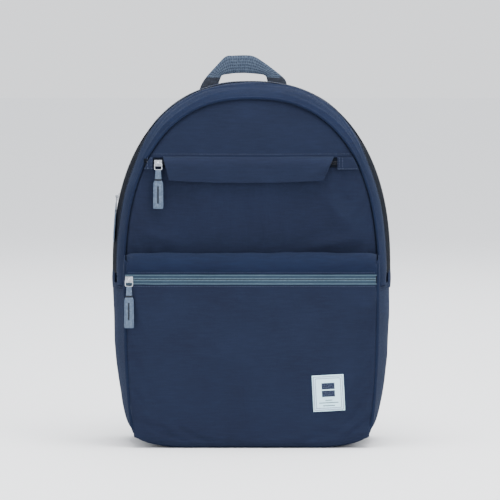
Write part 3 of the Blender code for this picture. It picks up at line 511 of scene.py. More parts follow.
def addPiece(name, vertices, faces, materials, uv=None):
    mesh = bpy.data.meshes.new(name)
    mesh.from_pydata([tuple(v) for v in vertices], [], faces)
    for material in materials:
        mesh.materials.append(material)
    if uv is not None:
        layer = mesh.uv_layers.new(name="cloth")
        corner = np.zeros(len(mesh.loops), np.int32)
        mesh.loops.foreach_get("vertex_index", corner)
        layer.data.foreach_set("uv", np.asarray(uv, np.float32)[corner].ravel())
    mesh.shade_smooth()
    made = bpy.data.objects.new(name, mesh)
    bpy.context.scene.collection.objects.link(made)
    return made


def gridFaces(grid, centre):
    # the grid's points and its quads, turned to face away from centre
    rows, columns = grid.shape[:2]
    index = np.arange(rows * columns).reshape(rows, columns)
    quads = np.stack(
        [index[:-1, :-1], index[:-1, 1:], index[1:, 1:], index[1:, :-1]], axis=-1
    ).reshape(-1, 4)
    points = grid.reshape(-1, 3)
    facing = np.cross(points[quads[:, 1]] - points[quads[:, 0]], points[quads[:, 3]] - points[quads[:, 0]])
    if np.sum(facing * (points[quads[:, 0]] - np.asarray(centre))) < 0:
        quads = quads[:, ::-1]
    return points, quads


def clothPiece(name, grid, materials, thickness=0.0012, centre=bagMiddle):
    _, _, across, up = edgeDistance(grid)
    points, quads = gridFaces(grid, centre)
    made = addPiece(name, points, quads.tolist(), materials, np.stack([across.ravel(), up.ravel()], axis=1))
    if thickness:
        wall = made.modifiers.new("wall", "SOLIDIFY")
        wall.thickness = thickness
        wall.offset = -1
        wall.use_even_offset = False
        wall.material_offset = len(materials) - 1
    return made


settlingFrames = 18


def settled(name, grid, held, pressure, gravity, grow, most, centre=bagMiddle):
    # lets the cloth settle between its held points, and caps how far it may move
    points, quads = gridFaces(grid, centre)
    cloth = addPiece(name + "Settling", points, quads.tolist(), [])
    group = cloth.vertex_groups.new(name="held")
    for vertex, weight in enumerate(held.ravel()):
        if weight > 0:
            group.add([vertex], float(weight), "REPLACE")
    fabric = cloth.modifiers.new("fabric", "CLOTH")
    settings = fabric.settings
    settings.quality = 6
    settings.mass = 0.25
    settings.tension_stiffness = settings.compression_stiffness = 18
    settings.shear_stiffness = 6
    settings.bending_stiffness = 0.35
    settings.air_damping = 2
    settings.vertex_group_mass = "held"
    settings.shrink_min = -grow
    settings.effector_weights.gravity = gravity
    settings.use_pressure = True
    settings.uniform_pressure_force = pressure
    fabric.collision_settings.use_collision = False
    fabric.collision_settings.use_self_collision = False
    fabric.point_cache.frame_start = 1
    fabric.point_cache.frame_end = settlingFrames
    for step in range(1, settlingFrames + 1):
        bpy.context.scene.frame_set(step)
    shown = cloth.evaluated_get(bpy.context.evaluated_depsgraph_get())
    result = np.array([v.co for v in shown.data.vertices]).reshape(grid.shape)
    bpy.data.objects.remove(cloth)
    bpy.context.scene.frame_set(1)
    moved = result - grid
    length = np.linalg.norm(moved, axis=2, keepdims=True)
    print("settled", name, "moved up to", round(float(length.max()) * 1000, 1), "mm")
    return grid + moved * (most * np.tanh(length / most) / np.maximum(length, 1e-9))


def surfaceOf(*made):
    graph = bpy.context.evaluated_depsgraph_get()
    graph.update()
    return [BVHTree.FromObject(one, graph) for one in made]


def frontDepth(surfaces, x, z, missing):
    # the foremost point of the cloth at x, z
    best = missing
    for tree in surfaces:
        hit = tree.ray_cast(Vector((x, -0.3, z)), Vector((0, 1, 0)))
        if hit[0] is not None:
            best = min(best, hit[0].y) if best is not missing else hit[0].y
    return best


def tubeGrid(path, radius, sides=10):
    # rings round a path, each square to it
    path = np.asarray(path, float)
    along = np.gradient(path, axis=0)
    along /= np.linalg.norm(along, axis=1)[:, None]
    side = np.cross(along, np.array([0.0, 1.0, 0.0]))
    side /= np.maximum(np.linalg.norm(side, axis=1), 1e-9)[:, None]
    other = np.cross(along, side)
    angles = np.linspace(0, 2 * math.pi, sides, endpoint=False)
    return path[:, None] + radius * (
        np.cos(angles)[None, :, None] * side[:, None] + np.sin(angles)[None, :, None] * other[:, None]
    )


def tubePiece(name, path, radius, material, sides=10):
    grid = tubeGrid(path, radius, sides)
    rows = len(grid)
    faces = [
        [i * sides + k, i * sides + (k + 1) % sides, (i + 1) * sides + (k + 1) % sides, (i + 1) * sides + k]
        for i in range(rows - 1)
        for k in range(sides)
    ]
    faces += [list(range(sides)), [(rows - 1) * sides + k for k in reversed(range(sides))]]
    lengths = np.concatenate(
        [[0], np.cumsum(np.linalg.norm(np.diff(np.asarray(path, float), axis=0), axis=1))]
    )
    uv = [(k * 2 * math.pi * radius / sides, lengths[i]) for i in range(rows) for k in range(sides)]
    first = Vector(grid[0, 0]), Vector(grid[0, 1]), Vector(grid[1, 0])
    facing = (first[1] - first[0]).cross(first[2] - first[0])
    if facing.dot(first[0] - Vector(np.asarray(path)[0])) < 0:
        faces = [f[::-1] for f in faces]
    return addPiece(name, grid.reshape(-1, 3), faces, [material], uv)


# repeated small shapes along lines: stitches and zip teeth
def lineTree(name, material):
    # a small shape set along every line of the mesh: input sizes are named and in metres
    tree = bpy.data.node_groups.new(name, "GeometryNodeTree")
    tree.interface.new_socket("Geometry", in_out="INPUT", socket_type="NodeSocketGeometry")
    for label, value in (
        ("Pitch", 0.003), ("Length", 0.0022), ("Width", 0.0006), ("Height", 0.0005), ("Slant", 0.0)
    ):
        tree.interface.new_socket(
            label, in_out="INPUT", socket_type="NodeSocketFloat"
        ).default_value = value
    tree.interface.new_socket("Geometry", in_out="OUTPUT", socket_type="NodeSocketGeometry")
    given = addNode(tree, "NodeGroupInput")
    lines = addNode(tree, "GeometryNodeMeshToCurve", None, {"Mesh": given.outputs["Geometry"]})
    spaced = addNode(tree, "GeometryNodeResampleCurve", None, {"Curve": lines.outputs["Curve"]})
    spaced.mode = "LENGTH"
    tree.links.new(given.outputs["Pitch"], spaced.inputs["Length"])
    bead = addNode(tree, "GeometryNodeMeshUVSphere", None, {"Segments": 6, "Rings": 4, "Radius": 0.5})
    scale = addNode(
        tree, "ShaderNodeCombineXYZ", None,
        {"X": given.outputs["Height"], "Y": given.outputs["Width"], "Z": given.outputs["Length"]}
    )
    sized = addNode(
        tree, "GeometryNodeTransform", None,
        {"Geometry": bead.outputs["Mesh"], "Scale": scale.outputs["Vector"]}
    )
    tangent = addNode(tree, "GeometryNodeInputTangent")
    outward = addNode(
        tree, "GeometryNodeInputNamedAttribute", {"data_type": "FLOAT_VECTOR"}, {"Name": "outward"}
    )
    faced = addNode(
        tree, "FunctionNodeAlignRotationToVector", {"axis": "X"}, {"Vector": outward.outputs["Attribute"]}
    )
    turned = addNode(
        tree, "FunctionNodeAlignRotationToVector", {"axis": "Z", "pivot_axis": "X"},
        {"Rotation": faced.outputs["Rotation"], "Vector": tangent.outputs["Tangent"]}
    )
    lean = addNode(tree, "ShaderNodeCombineXYZ", None, {"X": given.outputs["Slant"]})
    leanTurn = addNode(tree, "FunctionNodeEulerToRotation", None, {"Euler": lean.outputs["Vector"]})
    both = addNode(
        tree, "FunctionNodeRotateRotation", {"rotation_space": "LOCAL"},
        {"Rotation": turned.outputs["Rotation"], "Rotate By": leanTurn.outputs["Rotation"]}
    )
    placed = addNode(
        tree, "GeometryNodeInstanceOnPoints", None,
        {
            "Points": spaced.outputs["Curve"], "Instance": sized.outputs["Geometry"],
            "Rotation": both.outputs["Rotation"]
        }
    )
    real = addNode(tree, "GeometryNodeRealizeInstances", None, {"Geometry": placed.outputs["Instances"]})
    dressed = addNode(
        tree, "GeometryNodeSetMaterial", None, {"Geometry": real.outputs["Geometry"], "Material": material}
    )
    addNode(tree, "NodeGroupOutput", None, {"Geometry": dressed.outputs["Geometry"]})
    return tree


def alongLines(name, lines, material, sizes):
    # lines: list of (points, outward) where outward is one direction or one for each point
    vertices, edges, facing = [], [], []
    for points, outward in lines:
        start = len(vertices)
        vertices += [tuple(p) for p in points]
        outward = np.asarray(outward, float)
        facing += [tuple(o) for o in (np.tile(outward, (len(points), 1)) if outward.ndim == 1 else outward)]
        edges += [(start + k, start + k + 1) for k in range(len(points) - 1)]
    mesh = bpy.data.meshes.new(name + "Lines")
    mesh.from_pydata(vertices, edges, [])
    mesh.attributes.new("outward", "FLOAT_VECTOR", "POINT").data.foreach_set(
        "vector", np.array(facing, np.float32).ravel()
    )
    carrier = bpy.data.objects.new(name + "Lines", mesh)
    bpy.context.scene.collection.objects.link(carrier)
    tree = lineTree(name + "Tree", material)
    modifier = carrier.modifiers.new("pattern", "NODES")
    modifier.node_group = tree
    for item in tree.interface.items_tree:
        if item.item_type == "SOCKET" and item.in_out == "INPUT" and item.name in sizes:
            modifier[item.identifier] = sizes[item.name]
    graph = bpy.context.evaluated_depsgraph_get()
    graph.update()
    result = bpy.data.meshes.new_from_object(carrier.evaluated_get(graph))
    bpy.data.objects.remove(carrier)
    result.name = name
    result.shade_smooth()
    made = bpy.data.objects.new(name, result)
    bpy.context.scene.collection.objects.link(made)
    return made


def resampled(points, spacing):
    points = np.asarray(points, float)
    lengths = np.concatenate([[0], np.cumsum(np.linalg.norm(np.diff(points, axis=0), axis=1))])
    count = max(2, int(lengths[-1] / spacing) + 1)
    at = np.linspace(0, lengths[-1], count)
    return np.stack([np.interp(at, lengths, points[:, k]) for k in range(points.shape[1])], axis=1)


stitchSize = {"Pitch": 0.0030, "Length": 0.0023, "Width": 0.0007, "Height": 0.0005}

# upper front: panel, yoke and gussets
frontPanel = {
    "columns": 110, "straightRows": 40, "archRows": 60, "puff": 0.0042, "edge": 0.020, "edgeInset": 0.0022,
    "flapSeam": 0.3468
}


def archPanel(low, high, shape, inset):
    # a panel that fills the outline at one depth, from low up to high or to the crest
    half, crest, spring, power, foot = cutAt(shape)
    crest = crest - inset
    cut = (half - inset, crest, spring, power, foot - inset)
    heights = list(
        np.linspace(low, max(low, spring), frontPanel["straightRows"], endpoint=False)
    ) if low < spring else []
    firstAngle = math.asin(
        min(1.0, max(0.0, (max(low, spring) - spring) / (crest - spring)) ** (power / 2))
    )
    lastAngle = math.pi / 2 if high is None else math.asin(
        ((high - spring) / (crest - spring)) ** (power / 2)
    )
    heights += [
        spring + (crest - spring) * math.sin(a) ** (2 / power)
        for a in np.linspace(firstAngle, lastAngle, frontPanel["archRows"])
    ]
    across = np.linspace(-1, 1, frontPanel["columns"])
    grid = np.array([[(u * max(halfAt(cut, z), 0.0004), shape, z) for u in across] for z in heights])
    return grid


def panelDistance(grid, shape, inset):
    # how far each point is from the outline, near enough for rounding the edge
    half, crest, spring, power, _ = cut = cutAt(shape)
    x, z = np.abs(grid[:, :, 0]), grid[:, :, 2]
    lower = np.array([[halfAt(cut, q) for q in row] for row in z]) - x
    high = np.maximum(0, z - spring)
    radial = (
        1 - ((x / half) ** power + (high / (crest - spring)) ** power) ** (1 / power)
    ) * np.minimum(half, crest - spring)
    return np.maximum(
        0.0, np.where(z > spring, np.minimum(radial, np.maximum(lower, radial)), lower) - inset
    )


upperGrid = archPanel(
    0.1500, frontPanel["flapSeam"] - 0.0015, bagShape["frontDepth"], frontPanel["edgeInset"]
)
away = panelDistance(upperGrid, -0.0437, frontPanel["edgeInset"])
upperGrid[:, :, 1] += 0.0016 * np.exp(-away / 0.0022) - frontPanel["puff"] * (
    1 - np.exp(-away / frontPanel["edge"])
)
upperGrid[:, :, 1] -= roughness(
    upperGrid, 0.060, 0.0011, 3.1, (1, 1, 0.7)
) + roughness(upperGrid, 0.021, 0.0003, 8.2)
upperGrid[:, :, 1] -= foldLine(upperGrid, (0.085, 0.306), (0.120, 0.262), 0.0090, 0.0028)
upperGrid[:, :, 1] += foldLine(upperGrid, (0.094, 0.312), (0.132, 0.285), 0.0070, 0.0022)
upperGrid[:, :, 1] -= foldLine(upperGrid, (-0.140, 0.262), (-0.080, 0.240), 0.0080, 0.0020)
upperGrid[:, :, 1] -= foldLine(upperGrid, (0.060, 0.238), (0.138, 0.252), 0.0070, 0.0022)
rows, columns = upperGrid.shape[:2]
held = np.zeros((rows, columns))
held[:2], held[-2:], held[:, :2], held[:, -2:] = 1, 1, 1, 1
upperGrid = settled("upperFront", upperGrid, held, 0.6, 0.5, 0.012, 0.0022)
upperFront = clothPiece("upperFront", upperGrid, [navy, lining])
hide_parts("front_panel_upper", "front_panel_lower")
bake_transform(upperFront)

yokeGrid = archPanel(frontPanel["flapSeam"] - 0.0015, None, bagShape["frontDepth"], frontPanel["edgeInset"])
away = panelDistance(yokeGrid, -0.0437, frontPanel["edgeInset"])
yokeGrid[:, :, 1] += 0.0016 * np.exp(-away / 0.0022) - frontPanel["puff"] * (
    1 - np.exp(-away / frontPanel["edge"])
)
yokeGrid[:, :, 1] -= roughness(
    yokeGrid, 0.060, 0.0011, 3.1, (1, 1, 0.7)
) + roughness(yokeGrid, 0.024, 0.0003, 5.2)
yokeGrid[:, :, 1] -= 0.0013 * np.exp(-((yokeGrid[:, :, 2] - frontPanel["flapSeam"]) / 0.0050) ** 2)
yokeGrid[:, :, 1] += 0.0006 * np.exp(-((yokeGrid[:, :, 2] - frontPanel["flapSeam"] - 0.0036) / 0.0008) ** 2)
yoke = clothPiece("yoke", yokeGrid, [navy, lining])
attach(yoke, "lid")
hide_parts("front_yoke")

gusset = {
    "frontEdge": -0.0437, "zipEdgeLow": -0.0200, "zipEdgeTop": 0.0100, "foldStart": 0.335, "foldEnd": 0.400,
    "rearEdge": 0.0262, "backEdge": 0.0592, "columns": 34,
    "ridges": [(0.22, 0.05, 0.0013), (0.45, 0.06, -0.0010), (0.62, 0.05, 0.0014), (0.84, 0.05, -0.0008)],
    "low": 0.1920, "swell": 0.0022
}


def zipEdge(z):
    # the tape's front edge: it turns to face forward low on the sides, and hides under the fold on top
    s = min(1.0, max(0.0, (z - gusset["foldStart"]) / (gusset["foldEnd"] - gusset["foldStart"])))
    return gusset["zipEdgeLow"] + (gusset["zipEdgeTop"] - gusset["zipEdgeLow"]) * (3 * s ** 2 - 2 * s ** 3)


def gussetGrid(first, last, low, swell, seed, depth=0.0011):
    grid = archSheet(low, first, last, gusset["columns"])
    normals = gridNormals(grid, bagMiddle)
    across = np.linspace(0, 1, gusset["columns"])
    lift = swell * np.sin(np.pi * across)[:, None] ** 0.8 - 0.0010 * (
        np.exp(-across / 0.05) + np.exp(-(1 - across) / 0.05)
    )[:, None]
    lift = lift + roughness(
        grid, 0.034, depth, seed, (1, 0.6, 1)
    ) * np.sin(np.pi * np.clip(across, 0, 1))[:, None]
    onTop = np.clip((grid[:, :, 2] - 0.330) / 0.050, 0, 1)
    for place, width, ridge in gusset["ridges"]:
        wander = place + 0.06 * np.sin(grid[:, :, 0] * 38 + place * 9)
        strength = 0.55 + 0.45 * np.sin(grid[:, :, 0] * 27 + place * 21)
        lift = lift + ridge * onTop * strength * np.exp(-((across[:, None] - wander) / width) ** 2)
    return grid + normals * lift[..., None]


frontGusset = clothPiece(
    "frontGusset",
    gussetGrid(lambda z: gusset["frontEdge"], zipEdge, gusset["low"], gusset["swell"], 4.4, 0.0014),
    [navyPaintedShade, lining]
)
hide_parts("front_gusset")
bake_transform(frontGusset)
rearGusset = clothPiece(
    "rearGusset",
    gussetGrid(lambda z: gusset["rearEdge"], lambda z: gusset["backEdge"], gusset["low"], 0.0018, 6.9),
    [navyPaintedShade, lining]
)
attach(rearGusset, "bag")
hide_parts("rear_gusset")

# piping sewn into the front and back seams
piping = {"radius": 0.0017}
for pipingName, depth, low, proud in (
    ("frontPiping", -0.0446, 0.196, -0.0002), ("backPiping", 0.0600, None, -0.0004)
):
    if low is None:
        ring = np.concatenate([archRow(depth - 0.0004, 0.192), bowlRow(depth - 0.0004, 0.192)[::-1][1:-1]])
        ring[:, 1] = depth
        ring = movedIn(ring, 0.0012)
        ring[:, 2] = np.maximum(ring[:, 2], piping["radius"] + 0.0006)
        path = resampled(np.concatenate([ring, ring[:1]]), 0.004)
    else:
        path = resampled(movedIn(archRow(-0.0437, low), 0.0006), 0.004)
        path[:, 1] = depth
    tube = tubePiece(pipingName, path, piping["radius"], bindingTape if low is None else navyPaintedShade)
    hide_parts("back_piping" if low is None else "front_piping")
    if low is None:
        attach(tube, "bag")
    else:
        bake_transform(tube)
print("upper front and gussets made")

# lower bag: side panels with the bottom, and the pocket's sides
lower = {"edge": 0.0034, "columns": 40}


def bowlGrid(first, last, highs, columns, seed, edgeFront, edgeBack, depth=0.0011):
    depths = np.linspace(first, last, columns)
    gridRows = []
    for d, high in zip(depths, highs):
        inset = 0.0
        for edge, at in ((edgeFront, first), (edgeBack, last)):
            if edge and abs(d - at) < edge:
                inset = edge - math.sqrt(edge ** 2 - (edge - abs(d - at)) ** 2)
        gridRows.append(bowlRow(d, high, inset))
    grid = np.array(gridRows)
    normals = gridNormals(grid, bagMiddle)
    across = (depths - first) / (last - first)
    aboveFloor = np.clip((grid[:, :, 2] - 0.010) / 0.03, 0, 1)
    lift = (
        roughness(grid, 0.045, depth, seed, (1, 0.6, 1)) + roughness(grid, 0.016, depth * 0.22, seed + 3)
    ) * np.sin(np.pi * across)[:, None] ** 0.5 * aboveFloor
    grid = grid + normals * lift[..., None]
    grid[:, :, 2] = np.maximum(grid[:, :, 2], 0.0)
    return grid


depthCount = lower["columns"]
lowerGrid = bowlGrid(-0.0437, 0.0592, np.full(depthCount, 0.1935), depthCount, 2.2, 0.0, lower["edge"])
lowerShell = clothPiece("lowerShell", lowerGrid, [navyPaintedShade, lining])
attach(lowerShell, "bag")
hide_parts("side_panel_left", "side_panel_right", "bottom_panel")

pocket = {
    "top": [
        (-0.0770, 0.2082), (-0.0806, 0.2140), (-0.0800, 0.2215), (-0.0752, 0.2282), (-0.0670, 0.2322),
        (-0.0580, 0.2330), (-0.0515, 0.2312), (-0.0474, 0.2270)
    ],
    "faceTop": 0.1970,
    "faceLow": 0.0022,
    "half": 0.1508,
    "puff": 0.0034,
    "columns": 110,
    "rows": 90,
}
topProfile = np.array(pocket["top"])
sideColumns = 16
sideDepths = np.linspace(-0.0765, -0.0437, sideColumns)
sideHighs = np.interp(
    sideDepths, topProfile[1:, 0][np.argsort(topProfile[1:, 0])],
    topProfile[1:, 1][np.argsort(topProfile[1:, 0])]
) - 0.0028
sideGrid = bowlGrid(-0.0765, -0.0437, sideHighs, sideColumns, 7.7, lower["edge"], 0.0, 0.0009)
pocketSides = clothPiece("pocketSides", sideGrid, [navyPaintedShade, lining])
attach(pocketSides, "bag")
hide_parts("pocket_side_left", "pocket_side_right")

pocketCut = cutAt(-0.0765)


def pocketFaceGrid():
    grid = []
    for v in np.linspace(0, 1, pocket["rows"]):
        row = []
        for u in np.linspace(-1, 1, pocket["columns"]):
            z = pocket["faceLow"] + v * (pocket["faceTop"] - pocket["faceLow"])
            for _ in range(3):
                x = u * (halfAt(pocketCut, z) - 0.0030)
                low = float(floorHeight(x)) + pocket["faceLow"]
                z = low + v * (pocket["faceTop"] - low)
            row.append((x, bagShape["pocketDepth"], z))
        grid.append(row)
    return np.array(grid)


faceGrid = pocketFaceGrid()
sideAway, endAway, _, _ = edgeDistance(faceGrid)
topAway = pocket["faceTop"] - faceGrid[:, :, 2]
away = np.minimum(sideAway, np.minimum(endAway + 0.004, topAway * 1.5 + 0.004))
faceGrid[:, :, 1] -= pocket["puff"] * (1 - np.exp(-away / 0.024)) - 0.0012 * np.exp(-sideAway / 0.0025)
faceGrid[:, :, 1] -= (
    roughness(faceGrid, 0.085, 0.0012, 1.3) + roughness(faceGrid, 0.030, 0.00045, 9.4)
) * (1 - np.exp(-away / 0.010))
for start, end, width, depth in (
    ((0.080, 0.030), (0.146, 0.018), 0.0060, 0.0026), ((0.095, 0.044), (0.150, 0.034), 0.0055, -0.0018),
    ((-0.148, 0.050), (-0.100, 0.026), 0.0075, 0.0022), ((0.118, 0.150), (0.149, 0.188), 0.0065, 0.0020),
    ((-0.120, 0.192), (-0.060, 0.176), 0.0080, -0.0008), ((-0.020, 0.012), (0.050, 0.020), 0.0060, 0.0009),
    ((0.020, 0.188), (0.100, 0.180), 0.0080, -0.0007),
):
    faceGrid[:, :, 1] -= foldLine(faceGrid, start, end, width, depth)
held = np.zeros(faceGrid.shape[:2])
held[:2], held[-2:], held[:, :2], held[:, -2:] = 1, 1, 1, 1
faceGrid = settled("pocketFace", faceGrid, held, 0.5, 0.6, 0.010, 0.0020)
pocketFace = clothPiece("pocketFace", faceGrid, [navy, lining])
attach(pocketFace, "bag")
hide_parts("pocket_face")

# the puffed strip above the pocket zip, rolled over and tucked against the panel
stripColumns, stripRows = 140, 40
profileLengths = np.concatenate([[0], np.cumsum(np.linalg.norm(np.diff(topProfile, axis=0), axis=1))])
stripGrid = np.zeros((stripRows, stripColumns, 3))
for j, u in enumerate(np.linspace(-1, 1, stripColumns)):
    x = u * pocket["half"]
    endFall = max(0.0, 1 - (pocket["half"] - abs(x)) / 0.012)
    bulge = 1 + 0.10 * noise.noise(
        Vector((x / 0.050, 0.3, 1.7))
    ) + 0.06 * noise.noise(Vector((x / 0.018, 2.3, 0.7)))
    for i, at in enumerate(np.linspace(0, profileLengths[-1], stripRows)):
        depth, z = through(profileLengths, topProfile, at)
        middle = np.array([-0.0600, 0.2180])
        shapeHere = middle + (np.array([depth, z]) - middle) * (
            1 + (bulge - 1) * math.sin(math.pi * at / profileLengths[-1])
        )
        shapeHere[1] -= 0.0040 * endFall ** 2 * math.sin(math.pi * at / profileLengths[-1])
        shapeHere[0] += 0.0030 * endFall ** 2 * math.sin(math.pi * at / profileLengths[-1])
        stripGrid[i, j] = (x * (1 - 0.004 * endFall), shapeHere[0], shapeHere[1])
lift = roughness(
    stripGrid, 0.022, 0.0009, 4.7, (1, 1, 0.5)
) * np.sin(np.linspace(0, math.pi, stripRows))[:, None]
lift = lift + foldLine(stripGrid, (0.088, 0.214), (0.120, 0.228), 0.0050, 0.0013) - foldLine(
    stripGrid, (-0.130, 0.228), (-0.100, 0.214), 0.0060, 0.0012
)
lift = lift - foldLine(stripGrid, (-0.020, 0.226), (0.020, 0.218), 0.0060, 0.0008)
stripGrid += gridNormals(stripGrid, (0, -0.05, 0.21)) * lift[..., None]
topStrip = clothPiece("pocketTopStrip", stripGrid, [navyPaintedShade, lining], centre=(0, -0.055, 0.215))
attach(topStrip, "bag")
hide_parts("pocket_top_strip")
print("lower bag and pocket made")

# zips
zips = {
    "toothPitch": 0.00155, "pocketLine": 0.2025, "upperLine": 0.3400, "tapeWidth": 0.0056, "gap": 0.0007
}
faceTrees = surfaceOf(pocketFace, topStrip)


def tapePiece(name, points, width, direction, materials, node, body, thickness=0.0006, crown=0.00012):
    # a flat woven tape beside a line of points; it ends a hair short of the teeth
    points = np.asarray(points, float)
    steps = np.linspace(0, 1, 7)
    grid = np.array([points + np.asarray(direction) * width * s for s in steps])
    grid[:, :, 1] -= crown * np.sin(np.pi * steps)[:, None]
    tape = clothPiece(name, grid, materials, thickness)
    if body:
        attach(tape, body)
    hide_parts(*node)
    return tape


def straightLine(first, last, depth, z, spacing=0.004):
    count = int((last - first) / spacing)
    return np.array([(x, depth, z) for x in np.linspace(first, last, count)])


pocketLine = straightLine(-0.1500, 0.1485, -0.0774, zips["pocketLine"])
for part, side in (("lower", -1), ("upper", 1)):
    start = pocketLine + np.array([0, 0, side * zips["gap"] / 2])
    tapePiece(
        "pocketZipTape" + part.capitalize(), start, 0.0062, (0, 0.0, side), [zipCloth],
        ["pocket_zip_" + part + "_half"], "bag"
    )
upperLine = straightLine(-0.1290, 0.1230, -0.0490, zips["upperLine"])
for part, side in (("lower", -1), ("upper", 1)):
    start = upperLine + np.array([0, 0, side * zips["gap"] / 2])
    tapePiece(
        "upperZipTape" + part.capitalize(), start, 0.0050, (0, 0.0, side), [darkZipCloth],
        ["upper_zip_" + part + "_half"], "lid"
    )

toothSize = {
    "Pitch": zips["toothPitch"], "Length": 0.0011, "Width": 0.0019, "Height": 0.0008, "Slant": 0.35
}
teeth = alongLines("pocketZipCoil", [
    (straightLine(-0.1495, 0.1480, -0.07755, zips["pocketLine"] + 0.00115), (0, -1, 0)),
    (straightLine(-0.1487, 0.1480, -0.07755, zips["pocketLine"] - 0.00115), (0, -1, 0))], coilPale, toothSize)
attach(teeth, "bag")
teeth = alongLines("upperZipCoil", [
    (straightLine(-0.1250, 0.1180, -0.04915, zips["upperLine"] + 0.00115), (0, -1, 0)),
    (straightLine(-0.1242, 0.1180, -0.04915, zips["upperLine"] - 0.00115), (0, -1, 0))], coilDark, toothSize)
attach(teeth, "lid")

# pale lines along the pocket tape's edges, and dark lines of painted shade where its halves meet and beside
# its coil
lineSize = {"Pitch": 0.0022, "Length": 0.0027, "Width": 0.0009, "Height": 0.0005}
edgeLines = alongLines(
    "pocketZipEdges",
    [
        (straightLine(-0.1500, 0.1485, -0.07775, zips["pocketLine"] + side * 0.0052), (0, -1, 0))
        for side in (-1, 1)
    ],
    coilPale, lineSize
)
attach(edgeLines, "bag")
# dark thread beads in the gap between the halves and beside the coil: painted shade
grooveShadeLines = alongLines(
    "pocketZipGrooveShade",
    [
        (straightLine(-0.1500, 0.1485, depth, zips["pocketLine"] + height), (0, -1, 0))
        for depth, height in ((-0.07745, 0.0), (-0.07715, 0.0027), (-0.07715, -0.0027))
    ],
    darkThread, {"Pitch": 0.0022, "Length": 0.0027, "Width": 0.0008, "Height": 0.0004}
)
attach(grooveShadeLines, "bag")

# main zip: dark tape over the arch, in two halves, with slanted teeth along the middle
mainZip = {"low": 0.2050, "proud": 0.0008, "columns": 12}


frontTape = clothPiece(
    "mainZipFrontTape",
    archSheet(
        mainZip["low"], lambda z: zipEdge(z) - 0.0008, lambda z: 0.0118, mainZip["columns"],
        (0.0004, mainZip["proud"]), 0.0022
    ),
    [darkZipCloth, lining], 0.0009
)
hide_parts("main_zip_front_half")
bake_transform(frontTape)
rearTape = clothPiece(
    "mainZipRearTape",
    archSheet(
        mainZip["low"], lambda z: 0.0128, lambda z: 0.0268, mainZip["columns"], (mainZip["proud"], 0.0002)
    ),
    [darkZipCloth, lining], 0.0009
)
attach(rearTape, "bag")
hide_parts("main_zip_rear_half")
coilSize = {"Pitch": 0.0017, "Length": 0.0012, "Width": 0.0021, "Height": 0.0009, "Slant": 0.5}
for coilName, depth, body in (("mainZipFrontCoil", 0.0112, None), ("mainZipRearCoil", 0.0134, "bag")):
    path = archRow(depth, mainZip["low"] + 0.002, proud=mainZip["proud"] + 0.0001)
    middle = np.array([0, depth, 0.2])
    outward = path - middle
    outward /= np.linalg.norm(outward, axis=1)[:, None]
    coil = alongLines(coilName, [(path, outward)], coilDark, coilSize)
    if body:
        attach(coil, body)
    else:
        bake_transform(coil)

# fabric tabs over the two ends of the main zip
for endName, side in (("left", -1), ("right", 1)):
    gridRows = []
    for z in np.linspace(0.1860, 0.2075, 9):
        swell = 0.0012 + 0.0006 * math.sin(math.pi * (z - 0.186) / 0.0215)
        gridRows.append(
            [
                (
                    side * (
                        halfAt(cutAt(d), z)
                        + swell * math.sin(math.pi * min(1, max(0, (d + 0.0085) / 0.0400))) ** 0.5
                    ),
                    d, z
                )
                for d in np.linspace(-0.0085, 0.0315, 22)
            ]
        )
    tab = clothPiece("mainZipEnd" + endName.capitalize(), np.array(gridRows), [navyPaintedShade], 0.0010)
    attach(tab, "bag")
    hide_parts("main_zip_end_" + endName)

# stitched rectangles over the ends of the upper zip
endTabs = {"left": (-0.1285, -0.1178, 0.3325, 0.3470), "right": (0.1025, 0.1268, 0.3318, 0.3470)}
for endName, (x0, x1, z0, z1) in endTabs.items():
    gridRows = []
    for z in np.linspace(z0, z1, 12):
        seam = halfAt(cutAt(-0.0437), z) - 0.0036
        x0, x1 = (-seam, x1) if endName == "left" else (x0, seam)
        gridRows.append(
            [
                (
                    x,
                    -0.0500 - 0.0007 * math.sin(
                        math.pi * (x - x0) / (x1 - x0)
                    ) ** 0.5 * math.sin(math.pi * (z - z0) / (z1 - z0)) ** 0.5,
                    z
                )
                for x in np.linspace(x0, x1, 16)
            ]
        )
    tab = clothPiece("upperZipTab" + endName.capitalize(), np.array(gridRows), [navy], 0.0012)
    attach(tab, "lid")
    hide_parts("upper_zip_tab_" + endName)

# flap over the upper zip
flap = {
    "top": 0.3478, "bottom": 0.3165, "rise": 0.0030, "topLeft": -0.1060, "topRight": 0.0985,
    "bottomLeft": -0.0990, "bottomRight": 0.0862, "stand": 0.0090, "roll": 0.11
}
flapGrid = []
for v in np.linspace(0, 1, 26):
    row = []
    for u in np.linspace(0, 1, 110):
        left = flap["topLeft"] + (flap["bottomLeft"] - flap["topLeft"]) * v
        right = flap["topRight"] + (flap["bottomRight"] - flap["topRight"]) * v
        x = left + (right - left) * u
        bottom = flap["bottom"] + flap["rise"] * abs(2 * u - 1) ** 2.5
        z = flap["top"] + (bottom - flap["top"]) * v
        roll = 1 - math.exp(-v / flap["roll"])
        wave = 0.0008 * noise.noise(
            Vector((x / 0.030, 1.2, v * 1.5))
        ) + 0.0004 * noise.noise(Vector((x / 0.012, 4.2, v * 2)))
        row.append((x, -0.0478 - flap["stand"] * roll + (0.0010 * v) + wave * v, z))
    flapGrid.append(row)
flapGrid = np.array(flapGrid)
flapGrid[:, :, 1] -= foldLine(
    flapGrid, (0.070, 0.322), (0.100, 0.343), 0.0055, 0.0016
) - foldLine(flapGrid, (0.080, 0.318), (0.101, 0.335), 0.0040, 0.0012)
# the flap's underside and rim take the darker navy copy: painted shade
zipFlap = clothPiece("zipFlap", flapGrid, [navy, navyPaintedShade], 0.0013)
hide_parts("zip_flap")
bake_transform(zipFlap)
print("zips and flap made")

